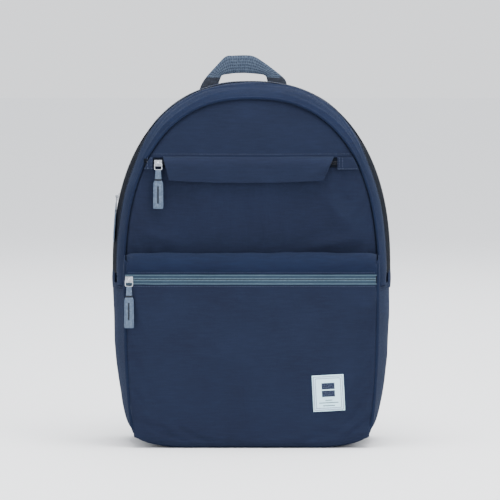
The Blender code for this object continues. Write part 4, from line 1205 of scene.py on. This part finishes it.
# pulls: webbing folded through the wire ring, with a woven bar
pulls = {
    "pocket": {"neck": 0.0068, "blade": 0.0105, "length": 0.0500, "thick": 0.0020},
    "upper": {"neck": 0.0072, "blade": 0.0105, "length": 0.0470, "thick": 0.0020},
    "main": {"neck": 0.0068, "blade": 0.0105, "length": 0.0490, "thick": 0.0018},
}
for pullName, pull in pulls.items():
    hook = Vector(joints[pullName + "_ring_swing"]["pos_m"])
    pivot = Vector(joints[pullName + "_tab_swing"]["pos_m"])
    rise = (hook - pivot).normalized()
    bar = -Vector(joints[pullName + "_tab_swing"]["axis"]).normalized()
    face = rise.cross(bar)
    body = pullName + "_pull_tab"

    def placed(a, b, c):
        # across the tab, out of its front, and down from the ring
        return pivot + bar * a - face * b - rise * c

    # width and half thickness down the tab: loop, tied neck, blade, folded end
    stations = [
        (0.0000, 0.82, 0.55), (0.0015, 0.92, 0.90), (0.0050, 0.98, 1.0), (0.0100, 1.08, 0.95),
        (0.0118, 1.10, 0.70), (0.0128, 1.10, 0.70), (0.0142, 1.42, 0.85), (0.0165, 1.62, 0.95),
        (0.0300, 1.66, 1.0), (0.0420, 1.70, 1.0), (pull["length"] - 0.0022, 1.68, 1.0),
        (pull["length"] - 0.0006, 1.60, 0.8), (pull["length"], 1.50, 0.4)
    ]
    ring = 20
    vertices, faces, uv = [], [], []
    fine = np.linspace(0, 1, 60)
    table = np.array(stations)
    downs = table[0, 0] + (table[-1, 0] - table[0, 0]) * fine
    for down in downs:
        width = np.interp(down, table[:, 0], table[:, 1]) * pull["neck"] / 2
        thick = np.interp(down, table[:, 0], table[:, 2]) * pull["thick"] / 2
        for k in range(ring):
            a = 2 * math.pi * k / ring
            across = width * math.copysign(abs(math.cos(a)) ** 0.35, math.cos(a))
            out = thick * math.copysign(abs(math.sin(a)) ** 0.55, math.sin(a))
            vertices.append(placed(across, out, down))
            uv.append((across, down))
    for i in range(len(downs) - 1):
        for k in range(ring):
            faces.append(
                [
                    i * ring + k, i * ring + (k + 1) % ring, (i + 1) * ring + (k + 1) % ring,
                    (i + 1) * ring + k
                ]
            )
    faces += [list(range(ring))[::-1], [(len(downs) - 1) * ring + k for k in range(ring)]]
    first = (vertices[1] - vertices[0]).cross(vertices[ring] - vertices[0])
    if first.dot(vertices[0] - placed(0, 0, 0)) < 0:
        faces = [f[::-1] for f in faces]
    tab = addPiece(pullName + "PullTab", vertices, faces, [pullWebbing], uv)
    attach(tab, body)
    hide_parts(body)

    front = pull["thick"] / 2 + 0.0001
    wraps = [
        ([placed(x, 0.70 * front + 0.0001, c) for x in np.linspace(-0.0033, 0.0033, 5)], tuple(-face))
        for c in (0.0113, 0.0118, 0.0123, 0.0128, 0.0133)
    ]
    wraps += [
        ([placed(x, -0.70 * front + 0.0002, c) for x in np.linspace(-0.0033, 0.0033, 5)], tuple(face))
        for c in (0.0113, 0.0118, 0.0123, 0.0128, 0.0133)
    ]
    band = alongLines(
        pullName + "PullThread", wraps, darkThread,
        {"Pitch": 0.0011, "Length": 0.0016, "Width": 0.0006, "Height": 0.0007}
    )
    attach(band, body)
    mark = [
        ([placed(x, front, c) for c in np.linspace(0.0205, 0.0400, 8)], tuple(-face))
        for x in (-0.0010, -0.0003, 0.0004)
    ]
    barMark = alongLines(
        pullName + "PullBar", mark, darkThread,
        {"Pitch": 0.0012, "Length": 0.0015, "Width": 0.0008, "Height": 0.0005}
    )
    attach(barMark, body)
    edges = [
        (
            [
                placed(side * 0.00445, front - 0.0001, c)
                for c in np.linspace(0.0165, pull["length"] - 0.0030, 8)
            ],
            tuple(-face)
        )
        for side in (-1, 1)
    ]
    edgeThread = alongLines(
        pullName + "PullEdge", edges, paleThread,
        {"Pitch": 0.0020, "Length": 0.0017, "Width": 0.0007, "Height": 0.0005}
    )
    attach(edgeThread, body)
for nodeName in (
    "main_slider", "pocket_slider", "upper_slider", "main_pull_ring", "pocket_pull_ring", "upper_pull_ring"
):
    for slot in frame["nodes"][nodeName].material_slots:
        slot.material = metal
for nodeName in ("strap_buckle_left", "strap_buckle_right"):
    for slot in frame["nodes"][nodeName].material_slots:
        slot.material = plastic
print("pulls made")

# label
label = {
    "middle": (0.0920, 0.0663), "width": 0.0380, "height": 0.0435, "turn": 3.0, "radius": 0.0012,
    "lift": 0.0008
}
turn = math.radians(label["turn"])


def onLabel(a, b, lift=0.0):
    x = label["middle"][0] + a * math.cos(turn) - b * math.sin(turn)
    z = label["middle"][1] + a * math.sin(turn) + b * math.cos(turn)
    return np.array([x, frontDepth(faceTrees, x, z, None) - label["lift"] - lift, z])


labelGrid = np.array(
    [
        [onLabel(a, b) for a in np.linspace(-0.5, 0.5, 24) * label["width"]]
        for b in np.linspace(-0.5, 0.5, 26) * label["height"]
    ]
)
edgeA, edgeB, _, _ = edgeDistance(labelGrid)
labelGrid[:, :, 1] += 0.0006 * np.exp(-np.minimum(edgeA, edgeB) / 0.0010)
labelPatch = clothPiece("labelPatch", labelGrid, [labelCloth], 0.0007)
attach(labelPatch, "bag")
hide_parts("label_patch")


def labelBox(halfWidth, halfHeight):
    corners = [
        (-halfWidth, -halfHeight), (halfWidth, -halfHeight), (halfWidth, halfHeight),
        (-halfWidth, halfHeight), (-halfWidth, -halfHeight)
    ]
    path = resampled(corners, 0.002)
    return [onLabel(a, b, 0.0001) for a, b in path]


borders = alongLines(
    "labelBorder", [(labelBox(0.0172, 0.0200), (0, -1, 0)), (labelBox(0.0150, 0.0178), (0, -1, 0))],
    labelLine, {"Pitch": 0.0010, "Length": 0.0014, "Width": 0.0009, "Height": 0.0006}
)
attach(borders, "bag")
# a plain motif: two blocks of satin stitch over short lines
motif = []
for b in np.arange(0.0118, -0.0040, -0.00075):
    if abs(b - 0.0040) < 0.0007:
        continue
    motif.append(([onLabel(a, b, 0.0001) for a in np.linspace(-0.0072, -0.0044, 4)], (0, -1, 0)))
    motif.append(([onLabel(a, b, 0.0001) for a in np.linspace(-0.0012 - 0.0022, 0.0072, 8)], (0, -1, 0)))
for b, reach in ((-0.0085, 0.0035), (-0.0115, 0.0110), (-0.0150, 0.0065)):
    motif.append(([onLabel(a, b, 0.0001) for a in np.linspace(-reach, reach, 10)], (0, -1, 0)))
mark = alongLines(
    "labelMark", motif, labelMark, {"Pitch": 0.0009, "Length": 0.0014, "Width": 0.0010, "Height": 0.0007}
)
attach(mark, "bag")
print("label made")

# grab handle
handle = {
    "depth": 0.0668,
    "thick": 0.0026,
    "outer": [
        (-0.0655, 0.3920), (-0.0645, 0.4100), (-0.0620, 0.4230), (-0.0550, 0.4350), (-0.0425, 0.4490),
        (-0.0315, 0.4600), (-0.0220, 0.4614), (-0.0040, 0.4617), (0.0050, 0.4595), (0.0160, 0.4525),
        (0.0280, 0.4435), (0.0405, 0.4325), (0.0432, 0.4230), (0.0450, 0.4100), (0.0455, 0.3920)
    ],
    "inner": [
        (-0.0415, 0.3920), (-0.0410, 0.4100), (-0.0405, 0.4240), (-0.0372, 0.4345), (-0.0345, 0.4378),
        (-0.0260, 0.4392), (-0.0190, 0.4400), (-0.0080, 0.4402), (-0.0010, 0.4398), (0.0080, 0.4390),
        (0.0150, 0.4378), (0.0182, 0.4345), (0.0198, 0.4240), (0.0208, 0.4100), (0.0212, 0.3920)
    ],
    "legTop": 0.4350,
}


def handleSide(points):
    points = np.array(points)
    stations = np.arange(len(points)) * 1.0
    return np.array([through(stations, points, at) for at in np.linspace(0, len(points) - 1, 99)])


outer, inner = handleSide(handle["outer"]), handleSide(handle["inner"])
lines, count = [], 15
for k in range(count):
    s = k / (count - 1)
    line = outer + (inner - outer) * s
    bow = 0.0007 * math.sin(math.pi * s) ** 0.5
    lines.append([(x, handle["depth"] - handle["thick"] / 2 - bow, z) for x, z in line])
frontFace = np.array(lines)
handleGrid = np.concatenate([frontFace, (frontFace * [1, -1, 1] + [0, 2 * handle["depth"], 0])[::-1]])
handleGrid = np.concatenate([handleGrid, handleGrid[:1]])
rowCount, columnCount = handleGrid.shape[:2]
lengths = np.concatenate([[0], np.cumsum(np.linalg.norm(np.diff((outer + inner) / 2, axis=0), axis=1))])
widths = np.abs(np.linspace(-1, 1, rowCount)) * 0.023
uv = np.array(
    [[(widths[i], lengths[j]) for j in range(columnCount)] for i in range(rowCount - 1)]
).reshape(-1, 2)
quads = []
for i in range(rowCount - 1):
    for j in range(columnCount - 1):
        a, b = i * columnCount, ((i + 1) % (rowCount - 1)) * columnCount
        quads.append([a + j, a + j + 1, b + j + 1, b + j])
caps = [
    [i * columnCount for i in range(rowCount - 1)],
    [i * columnCount + columnCount - 1 for i in reversed(range(rowCount - 1))]
]
grabHandle = addPiece(
    "grabHandle", handleGrid[:-1].reshape(-1, 3), quads + caps, [webbing, legWebbingPaintedShade], uv
)
# the leg faces take the darker webbing copy: painted shade
for face in grabHandle.data.polygons:
    if face.center.z < handle["legTop"] and abs(face.center.x + 0.0100) > 0.026:
        face.material_index = 1
p = handleGrid.reshape(-1, 3)
if np.cross(p[1] - p[0], p[columnCount] - p[0])[1] * (p[0][1] - handle["depth"]) < 0:
    grabHandle.data.flip_normals()
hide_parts("grab_handle", "handle_foot_left", "handle_foot_right")
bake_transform(grabHandle)
print("handle made")

# back: panel, foam cushions and the sleeve inside
back = {
    "columns": 100, "lowRows": 44, "archRows": 60, "inset": 0.0030, "depth": 0.0594, "crown": 0.0016,
    "floorBlend": 0.055
}


def backFill(depth, inset, low, rows, archRows, columns):
    # a panel over the whole outline: it follows the floor line at the bottom and closes at the crest
    half, crest, spring, power, foot = cutAt(0.0594)
    cut = (half - inset, crest - inset, spring, power, foot - inset)
    heights = list(np.linspace(0, spring, rows, endpoint=False))
    heights += [
        spring + (cut[1] - spring) * math.sin(a) ** (2 / power)
        for a in np.linspace(0, math.pi / 2, archRows)
    ]
    grid = []
    for z in heights:
        row = []
        for u in np.linspace(-1, 1, columns):
            x = u * max(halfAt(cut, max(z, low)), 0.0004)
            lifted = (float(floorHeight(x)) + low) * max(0.0, 1 - z / back["floorBlend"]) + z
            row.append((x, depth, lifted))
        grid.append(row)
    return np.array(grid)


backGrid = backFill(
    back["depth"], back["inset"], 0.0030, back["lowRows"], back["archRows"], back["columns"]
)
away = panelDistance(backGrid, 0.0592, back["inset"])
backGrid[:, :, 1] += back["crown"] * (1 - np.exp(-away / 0.015)) + roughness(backGrid, 0.050, 0.0005, 12.1)
backPanel = clothPiece("backPanel", backGrid, [navyPaintedShade, lining], centre=bagMiddle)
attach(backPanel, "bag")
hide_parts("back_panel")

cushions = {
    # middle x, middle z, half width, half height, how proud
    "list": [
        (-0.0640, 0.2680, 0.0470, 0.0590, 0.0085), (0.0640, 0.2680, 0.0470, 0.0590, 0.0085),
        (-0.0680, 0.1470, 0.0520, 0.0500, 0.0082), (0.0680, 0.1470, 0.0520, 0.0500, 0.0082),
        (0.0, 0.0620, 0.1160, 0.0240, 0.0085), (0.0, 0.2400, 0.0085, 0.0860, 0.0028)
    ],
    "square": 5.0,
}
padGrid = []
padRows, padColumns = 130, 100
for z in np.linspace(0.0300, 0.3450, padRows):
    half = min(0.1290, halfAt(cutAt(0.0594), z) - 0.018)
    half *= (
        1 - max(0.0, (z - 0.290) / 0.055) ** 3 * 0.30
    ) * (1 - max(0.0, (0.060 - z) / 0.030) ** 3 * 0.10)
    padGrid.append(
        [(u * half, back["depth"] + back["crown"] + 0.0006, z) for u in np.linspace(-1, 1, padColumns)]
    )
padGrid = np.array(padGrid)
puffed = np.zeros(padGrid.shape[:2])
for x0, z0, halfX, halfZ, proud in cushions["list"]:
    reach = (
        np.abs((padGrid[:, :, 0] - x0) / halfX) ** cushions["square"]
        + np.abs((padGrid[:, :, 2] - z0) / halfZ) ** cushions["square"]
    ) ** (1 / cushions["square"])
    puffed = np.maximum(puffed, proud * np.sqrt(np.clip(1 - reach ** 2.5, 0, 1)))
padGrid[:, :, 1] += puffed * 0.55
held = (puffed <= 0.0002).astype(float)
padGrid = settled("backCushions", padGrid, held, 2.5, 0.1, 0.015, 0.0030)
padGrid[:, :, 1] = np.minimum(padGrid[:, :, 1], 0.0694)
padGrid[:, :, 1] = np.maximum(padGrid[:, :, 1], back["depth"] + back["crown"] + 0.0003)
sideAway, endAway, _, _ = edgeDistance(padGrid)
padGrid[:, :, 1] -= 0.0012 * np.exp(-np.minimum(sideAway, endAway) / 0.0015)
backCushions = clothPiece("backCushions", padGrid, [airMesh], 0.0010)
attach(backCushions, "bag")

border = np.concatenate([padGrid[0], padGrid[1:, -1], padGrid[-1, ::-1][1:], padGrid[::-1, 0][1:]])
border[:, 1] = np.maximum(border[:, 1], back["depth"] + back["crown"]) + 0.0006
padBinding = tubePiece("cushionBinding", resampled(border, 0.004), 0.0018, bindingTape)
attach(padBinding, "bag")

foamGrid = []
for z in np.linspace(0.0200, 0.3600, 50):
    half = min(0.1300, halfAt(cutAt(0.0594), z) - 0.020)
    foamGrid.append([(u * half, 0.0527, z) for u in np.linspace(-1, 1, 50)])
foamGrid = np.array(foamGrid)
sideAway, endAway, _, _ = edgeDistance(foamGrid)
foamGrid[:, :, 1] -= 0.0012 * (1 - np.exp(-np.minimum(sideAway, endAway) / 0.010)) * (
    1 + 0.3 * np.cos(foamGrid[:, :, 2] * 2 * math.pi / 0.045)
)
foamPanel = clothPiece("backFoam", foamGrid, [lining], 0.0042, centre=(0, 0.2, 0.2))
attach(foamPanel, "bag")
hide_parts("back_padding")

sleeve = {"half": 0.1290, "low": 0.0120, "high": 0.2900, "depth": 0.0300, "thick": 0.0030}
sleeveGrid = np.array([
    [
        (
            u * min(sleeve["half"], halfAt(cutAt(0.03), z) - 0.010),
            sleeve["depth"] - 0.0010 * math.cos(u * 1.5), z
        )
        for u in np.linspace(-1, 1, 50)
    ]
    for z in np.linspace(sleeve["low"], sleeve["high"], 50)
])
sleeveGrid[:, :, 1] -= roughness(sleeveGrid, 0.040, 0.0006, 3.3)
sleevePiece = clothPiece("laptopSleeve", sleeveGrid, [lining], sleeve["thick"], centre=(0, 0.2, 0.2))
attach(sleevePiece, "bag")
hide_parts("laptop_sleeve")
bindingPath = resampled(
    [(x, sleeve["depth"] + 0.0010, 0.2925) for x in np.linspace(-0.1285, 0.1285, 30)], 0.005
)
binding = tubePiece("sleeveBinding", bindingPath, 0.0021, bindingTape)
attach(binding, "bag")
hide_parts("sleeve_binding")
pouchGrid = np.array(
    [
        [
            (
                u * 0.1080, -0.0372 + 0.0030 * (1 - abs(u) ** 3) * math.sin(math.pi * v) ** 0.7,
                0.2460 + 0.0960 * v
            )
            for u in np.linspace(-1, 1, 50)
        ]
        for v in np.linspace(0, 1, 36)
    ]
)
pouchGrid[:, :, 1] += roughness(pouchGrid, 0.030, 0.0009, 5.9)
pouch = clothPiece("upperPouch", pouchGrid, [lining], 0.0008, centre=(0, -0.3, 0.2))
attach(pouch, "lid")
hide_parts("upper_pocket_pouch")
print("back made")

# shoulder straps
strap = {
    # x, y, z, width and thickness down the pad
    "line": [
        (0.0450, 0.0708, 0.3845, 0.0500, 0.0052), (0.0480, 0.0744, 0.3600, 0.0560, 0.0070),
        (0.0560, 0.0770, 0.3250, 0.0610, 0.0078), (0.0650, 0.0783, 0.2850, 0.0610, 0.0078),
        (0.0720, 0.0782, 0.2450, 0.0580, 0.0078), (0.0765, 0.0776, 0.2050, 0.0520, 0.0078),
        (0.0780, 0.0772, 0.1720, 0.0460, 0.0068), (0.0780, 0.0770, 0.1520, 0.0400, 0.0048)
    ],
    "rings": 84,
    "around": 36,
    "binding": 0.0016,
}
padLine = np.array(strap["line"])
padStations = np.concatenate([[0], np.cumsum(np.linalg.norm(np.diff(padLine[:, :3], axis=0), axis=1))])


def padFrame(at):
    x, y, z, width, thick = through(padStations, padLine, at)
    ahead = through(
        padStations, padLine, min(at + 0.002, padStations[-1])
    )[:3] - through(padStations, padLine, max(at - 0.002, 0))[:3]
    ahead /= np.linalg.norm(ahead)
    wide = np.cross(ahead, np.array([0.0, 1.0, 0.0]))
    wide /= np.linalg.norm(wide)
    out = np.cross(wide, ahead)
    if out[1] < 0:
        out = -out
    return np.array([x, y, z]), wide, out, width / 2, thick / 2, ahead


def padPoint(at, across, out, side):
    middle, wide, outward, halfWidth, _, _ = padFrame(at)
    p = middle + wide * across * halfWidth + outward * out
    return np.array([p[0] * side, p[1], p[2]])


padRings = []
for at in np.linspace(0, padStations[-1], strap["rings"]):
    middle, wide, outward, halfWidth, halfThick, _ = padFrame(at)
    endRound = min(1.0, (min(at, padStations[-1] - at) + 0.0015) / 0.008) ** 0.5
    ring = []
    for k in range(strap["around"]):
        a = 2 * math.pi * k / strap["around"]
        across = math.copysign(abs(math.cos(a)) ** 0.45, math.cos(a))
        out = math.copysign(abs(math.sin(a)) ** 0.75, math.sin(a)) * halfThick * 0.88
        ring.append(
            middle + wide * across * (halfWidth - 0.0012) * (0.9 + 0.1 * endRound)
            + outward * out * endRound
        )
    padRings.append(ring)
padRings = np.array(padRings)


def swollen(rings):
    # the padded strap swells between its bound edges
    cols = rings.shape[1]
    cloth = addPiece(
        "strapSettling", rings.reshape(-1, 3),
        [
            [i * cols + k, i * cols + (k + 1) % cols, (i + 1) * cols + (k + 1) % cols, (i + 1) * cols + k]
            for i in range(len(rings) - 1)
            for k in range(cols)
        ],
        []
    )
    first = np.cross(rings[0, 1] - rings[0, 0], rings[1, 0] - rings[0, 0])
    if first @ (rings[0, 0] - rings[0].mean(axis=0)) < 0:
        cloth.data.flip_normals()
    group = cloth.vertex_groups.new(name="held")
    for i in range(len(rings)):
        for k in range(cols):
            bound = abs(math.cos(2 * math.pi * k / cols)) > 0.97 or i < 2 or i > len(rings) - 3
            if bound:
                group.add([i * cols + k], 1.0, "REPLACE")
    fabric = cloth.modifiers.new("fabric", "CLOTH")
    fabric.settings.quality = 6
    fabric.settings.mass = 0.3
    fabric.settings.tension_stiffness = fabric.settings.compression_stiffness = 12
    fabric.settings.bending_stiffness = 0.6
    fabric.settings.vertex_group_mass = "held"
    fabric.settings.shrink_min = -0.02
    fabric.settings.effector_weights.gravity = 0
    fabric.settings.use_pressure = True
    fabric.settings.uniform_pressure_force = 4
    fabric.point_cache.frame_start, fabric.point_cache.frame_end = 1, 20
    for step in range(1, 21):
        bpy.context.scene.frame_set(step)
    shown = cloth.evaluated_get(bpy.context.evaluated_depsgraph_get())
    result = np.array([v.co for v in shown.data.vertices]).reshape(rings.shape)
    bpy.data.objects.remove(cloth)
    bpy.context.scene.frame_set(1)
    moved = result - rings
    length = np.linalg.norm(moved, axis=2, keepdims=True)
    print("settled straps moved up to", round(float(length.max()) * 1000, 1), "mm")
    return rings + moved * (0.0009 * np.tanh(length / 0.0009) / np.maximum(length, 1e-9))


padRings = swollen(padRings)
for side, sideName in ((-1, "left"), (1, "right")):
    mirror = np.array([side, 1, 1])
    rings = padRings * mirror
    cols = rings.shape[1]
    faces = [
        [i * cols + k, i * cols + (k + 1) % cols, (i + 1) * cols + (k + 1) % cols, (i + 1) * cols + k]
        for i in range(len(rings) - 1)
        for k in range(cols)
    ]
    faces += [list(range(cols)), [(len(rings) - 1) * cols + k for k in reversed(range(cols))]]
    lengths = np.linspace(0, padStations[-1], len(rings))
    uv = [
        (rings[i, k, 0] - rings[i, :, 0].mean(), lengths[i]) for i in range(len(rings)) for k in range(cols)
    ]
    first = np.cross(rings[40, 1] - rings[40, 0], rings[41, 0] - rings[40, 0])
    if first @ (rings[40, 0] - rings[40].mean(axis=0)) < 0:
        faces = [f[::-1] for f in faces]
    body = "strap_" + sideName
    pad = addPiece("strapPad" + sideName.capitalize(), rings.reshape(-1, 3), faces, [navyPaintedShade, airMesh], uv)
    for face in pad.data.polygons:
        if face.normal.y < -0.35:
            face.material_index = 1
    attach(pad, body)
    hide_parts("strap_pad_" + sideName)
    # bound edges
    for edge in (-1, 1):
        path = [
            padPoint(at, edge * 0.985, 0.0, side) for at in np.linspace(0.003, padStations[-1] - 0.001, 70)
        ]
        cord = tubePiece(
            "strapBinding" + sideName.capitalize() + ("Inner" if edge < 0 else "Outer"), path,
            strap["binding"], bindingTape, 10
        )
        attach(cord, body)

    # webbing down the pad's outer face, then the loop to the buckle
    def webRow(at, down=0.0):
        middle, wide, outward, _, halfThick, ahead = padFrame(at)
        return middle + ahead * down, wide, outward, halfThick

    stations = list(np.linspace(0.004, padStations[-1], 70))
    grid = []
    for at in stations:
        middle, wide, outward, halfThick = webRow(at)
        row = [
            middle + wide * w * 0.0125 + outward * (halfThick * 0.92 + 0.0014 + 0.0003 * math.cos(w * 1.4))
            for w in np.linspace(-1, 1, 12)
        ]
        grid.append(row)
    last = np.array(grid[-1])
    target = np.array([[0.0780 + w * 0.0125, 0.0790, 0.1290] for w in np.linspace(-1, 1, 12)])
    if np.linalg.norm(last[0] - target[0]) > np.linalg.norm(last[0] - target[-1]):
        target = target[::-1]
    for s in np.linspace(0.12, 1, 9):
        grid.append(last + (target - last) * s + np.array([0, 0.0004 * math.sin(math.pi * s), 0]))
    web = clothPiece(
        "strapWebbing" + sideName.capitalize(), np.array(grid) * mirror, [strapWebbing], 0.0012,
        centre=(0, 0.0, 0.25)
    )
    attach(web, body)
    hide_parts("strap_webbing_" + sideName)

    # lower webbing from the buckle to the anchor at the bag's corner
    start, end = np.array([0.0780, 0.0762, 0.1046]), np.array([0.1230, 0.0656, 0.0330])
    along = (end - start) / np.linalg.norm(end - start)
    wide = np.cross(along, np.array([0.0, 1.0, 0.0]))
    wide /= np.linalg.norm(wide)
    grid = []
    for s in np.linspace(0, 1, 40):
        turned = min(1, s * 2.2)
        sideways = np.array([1.0, 0, 0]) * (1 - turned) + wide * (1 if wide[0] > 0 else -1) * turned
        sideways /= np.linalg.norm(sideways)
        middle = start + (end - start) * s + np.array(
            [0, -0.0012 * math.sin(math.pi * s), -0.0016 * math.sin(math.pi * s)]
        )
        grid.append([middle + sideways * w * 0.0125 for w in np.linspace(-1, 1, 12)])
    web = clothPiece(
        "lowerWebbing" + sideName.capitalize(), np.array(grid) * mirror, [strapWebbing], 0.0012,
        centre=(0, 0.0, 0.1)
    )
    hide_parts("lower_webbing_" + sideName)
    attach(web, "bag")

    # the loose tail that comes through the buckle and hangs
    grid = []
    for z in np.linspace(0.1190, 0.0340, 44):
        fall = (0.1190 - z) / 0.085
        grid.append(
            [
                (0.0780 + w * 0.0125, 0.0802 + 0.0016 * math.sin(fall * 3.0) - 0.0006 * abs(w), z)
                for w in np.linspace(-1, 1, 12)
            ]
        )
    tail = clothPiece(
        "strapTail" + sideName.capitalize(), np.array(grid) * mirror, [strapWebbing], 0.0012,
        centre=(0, 0.0, 0.1)
    )
    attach(tail, "buckle_" + sideName)
    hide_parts("strap_tail_" + sideName)

    # triangular anchor patch
    corners = np.array([(0.0990, 0.0180), (0.1400, 0.0160), (0.1385, 0.0480), (0.1130, 0.0500)])
    grid = []
    for v in np.linspace(0, 1, 14):
        a, b = corners[0] + (corners[3] - corners[0]) * v, corners[1] + (corners[2] - corners[1]) * v
        grid.append(
            [
                (
                    (a + (b - a) * u)[0],
                    0.0638 + 0.0012 * math.sin(math.pi * u) ** 0.5 * math.sin(math.pi * v) ** 0.5,
                    (a + (b - a) * u)[1]
                )
                for u in np.linspace(0, 1, 16)
            ]
        )
    anchor = clothPiece("lowerAnchor" + sideName.capitalize(), np.array(grid) * mirror, [navyPaintedShade], 0.0022)
    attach(anchor, "bag")
    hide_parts("lower_anchor_" + sideName)

yokeBand = []
for v in np.linspace(0, 1, 22):
    yokeBand.append(
        [
            (u * 0.0800, 0.0668 + 0.0014 * math.sin(math.pi * v) ** 0.6, 0.3640 + 0.0245 * v)
            for u in np.linspace(-1, 1, 60)
        ]
    )
strapYoke = clothPiece("strapYoke", np.array(yokeBand), [navyPaintedShade], 0.0024)
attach(strapYoke, "bag")
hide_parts("strap_yoke")
print("straps made")

# seams: rows of stitches, one mesh for each group of seams
faceTrees = surfaceOf(pocketFace, topStrip)
yokeTrees = surfaceOf(yoke)


def rowOver(trees, first, last, z, lift=0.0002, spacing=0.004):
    points = []
    for x in np.linspace(first, last, int(abs(last - first) / spacing) + 2):
        depth = frontDepth(trees, x, z, None)
        if depth is not None:
            points.append((x, depth - lift, z))
    return points, (0, -1, 0)


def stitched(name, lines, thread, body, sizes=stitchSize, blend=None):
    piece = alongLines(name, [line for line in lines if len(line[0]) > 1], thread, sizes)
    if blend:
        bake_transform(piece)
    else:
        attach(piece, body)
    return piece


stitched(
    "pocketStitches",
    [rowOver(faceTrees, -0.1465, 0.1465, 0.2108), rowOver(faceTrees, -0.1465, 0.1465, 0.1942)], seamThread,
    "bag"
)
stitched("yokeStitches", [rowOver(yokeTrees, -0.1235, 0.1235, 0.3505)], seamThread, "lid")
tabLines = []
for tabBox, marks in ((endTabs["left"], (-0.1200, -0.1245)), (endTabs["right"], (0.1050, 0.1090))):
    x0, x1, z0, z1 = tabBox
    tabLines += [
        ([(x, -0.0508, z) for z in np.linspace(z0 + 0.0012, z1 - 0.0015, 6)], (0, -1, 0)) for x in marks
    ]
    tabLines += [
        ([(x, -0.0508, z0 + 0.0014) for x in np.linspace(x0 + 0.0012, x1 - 0.0012, 6)], (0, -1, 0))
    ]
stitched("tabStitches", tabLines, seamThread, "lid")

sideLines = []
for side in (-1, 1):
    for z in (0.1900, 0.1868):
        sideLines.append(
            (
                [(side * (halfAt(cutAt(d), z) + 0.0008), d, z) for d in np.linspace(-0.0410, -0.0110, 9)],
                (side, 0, 0)
            )
        )
        sideLines.append(
            (
                [(side * (halfAt(cutAt(d), z) + 0.0008), d, z) for d in np.linspace(0.0330, 0.0570, 8)],
                (side, 0, 0)
            )
        )
stitched("sideStitches", sideLines, seamThread, "bag")


def beside(low, depthOf, proud):
    sheet = archSheet(low, depthOf, depthOf, 2, (proud, proud))[0]
    outward = sheet - np.array([0, 0.01, 0.2])
    outward[:, 1] = 0
    outward /= np.linalg.norm(outward, axis=1)[:, None]
    return sheet, outward


stitched(
    "gussetStitches", [beside(0.2080, lambda z: zipEdge(z) - 0.0022, 0.0012)], seamThread, None,
    blend=("bag", "lid", (0, -0.0300, 0.2200), (0, -0.0300, 0.2440))
)
stitched(
    "rearGussetStitches", [beside(0.2080, lambda z: gusset["rearEdge"] + 0.0022, 0.0012)], seamThread, "bag"
)

footLines = []
for x0, x1 in ((-0.0630, -0.0430), (0.0230, 0.0440)):
    for face, depth in ((-1, 0.0650), (1, 0.0688)):
        box = [(x0, 0.3935), (x1, 0.3935), (x1, 0.4125), (x0, 0.4125), (x0, 0.3935), (x1, 0.4125)]
        footLines.append(([(x, depth, z) for x, z in resampled(box, 0.002)], (0, face, 0)))
stitched("handleStitches", footLines, seamThread, "bag")
backLines = []
for z in (0.3668, 0.3862):
    backLines.append(([(x, 0.0684, z) for x in np.linspace(-0.0775, 0.0775, 40)], (0, 1, 0)))
for side in (-1, 1):
    box = [
        (0.1040, 0.0200), (0.1370, 0.0190), (0.1355, 0.0455), (0.1145, 0.0470), (0.1040, 0.0200),
        (0.1355, 0.0455)
    ]
    backLines.append(([(side * x, 0.0652, z) for x, z in resampled(box, 0.002)], (0, 1, 0)))
stitched("backStitches", backLines, seamThread, "bag")
for side, sideName in ((-1, "left"), (1, "right")):
    gridRows = []
    for across in (-0.0108, 0.0108):
        points, outwards = [], []
        for at in np.linspace(0.010, padStations[-1] - 0.002, 60):
            middle, wide, outward, halfWidth, halfThick, _ = padFrame(at)
            p = middle + wide * across + outward * (halfThick * 0.92 + 0.0018)
            points.append((p[0] * side, p[1], p[2]))
            outwards.append((outward[0] * side, outward[1], outward[2]))
        gridRows.append((points, outwards))
    for at in (0.060, 0.064, 0.120, 0.124, padStations[-1] - 0.010, padStations[-1] - 0.006):
        middle, wide, outward, halfWidth, halfThick, _ = padFrame(at)
        gridRows.append(
            (
                [
                    tuple((middle + wide * w + outward * (halfThick * 0.92 + 0.0019)) * [side, 1, 1])
                    for w in np.linspace(-0.0105, 0.0105, 8)
                ],
                tuple(outward * [side, 1, 1])
            )
        )
    stitched("strapStitches" + sideName.capitalize(), gridRows, seamThread, "strap_" + sideName)
print("stitches made")
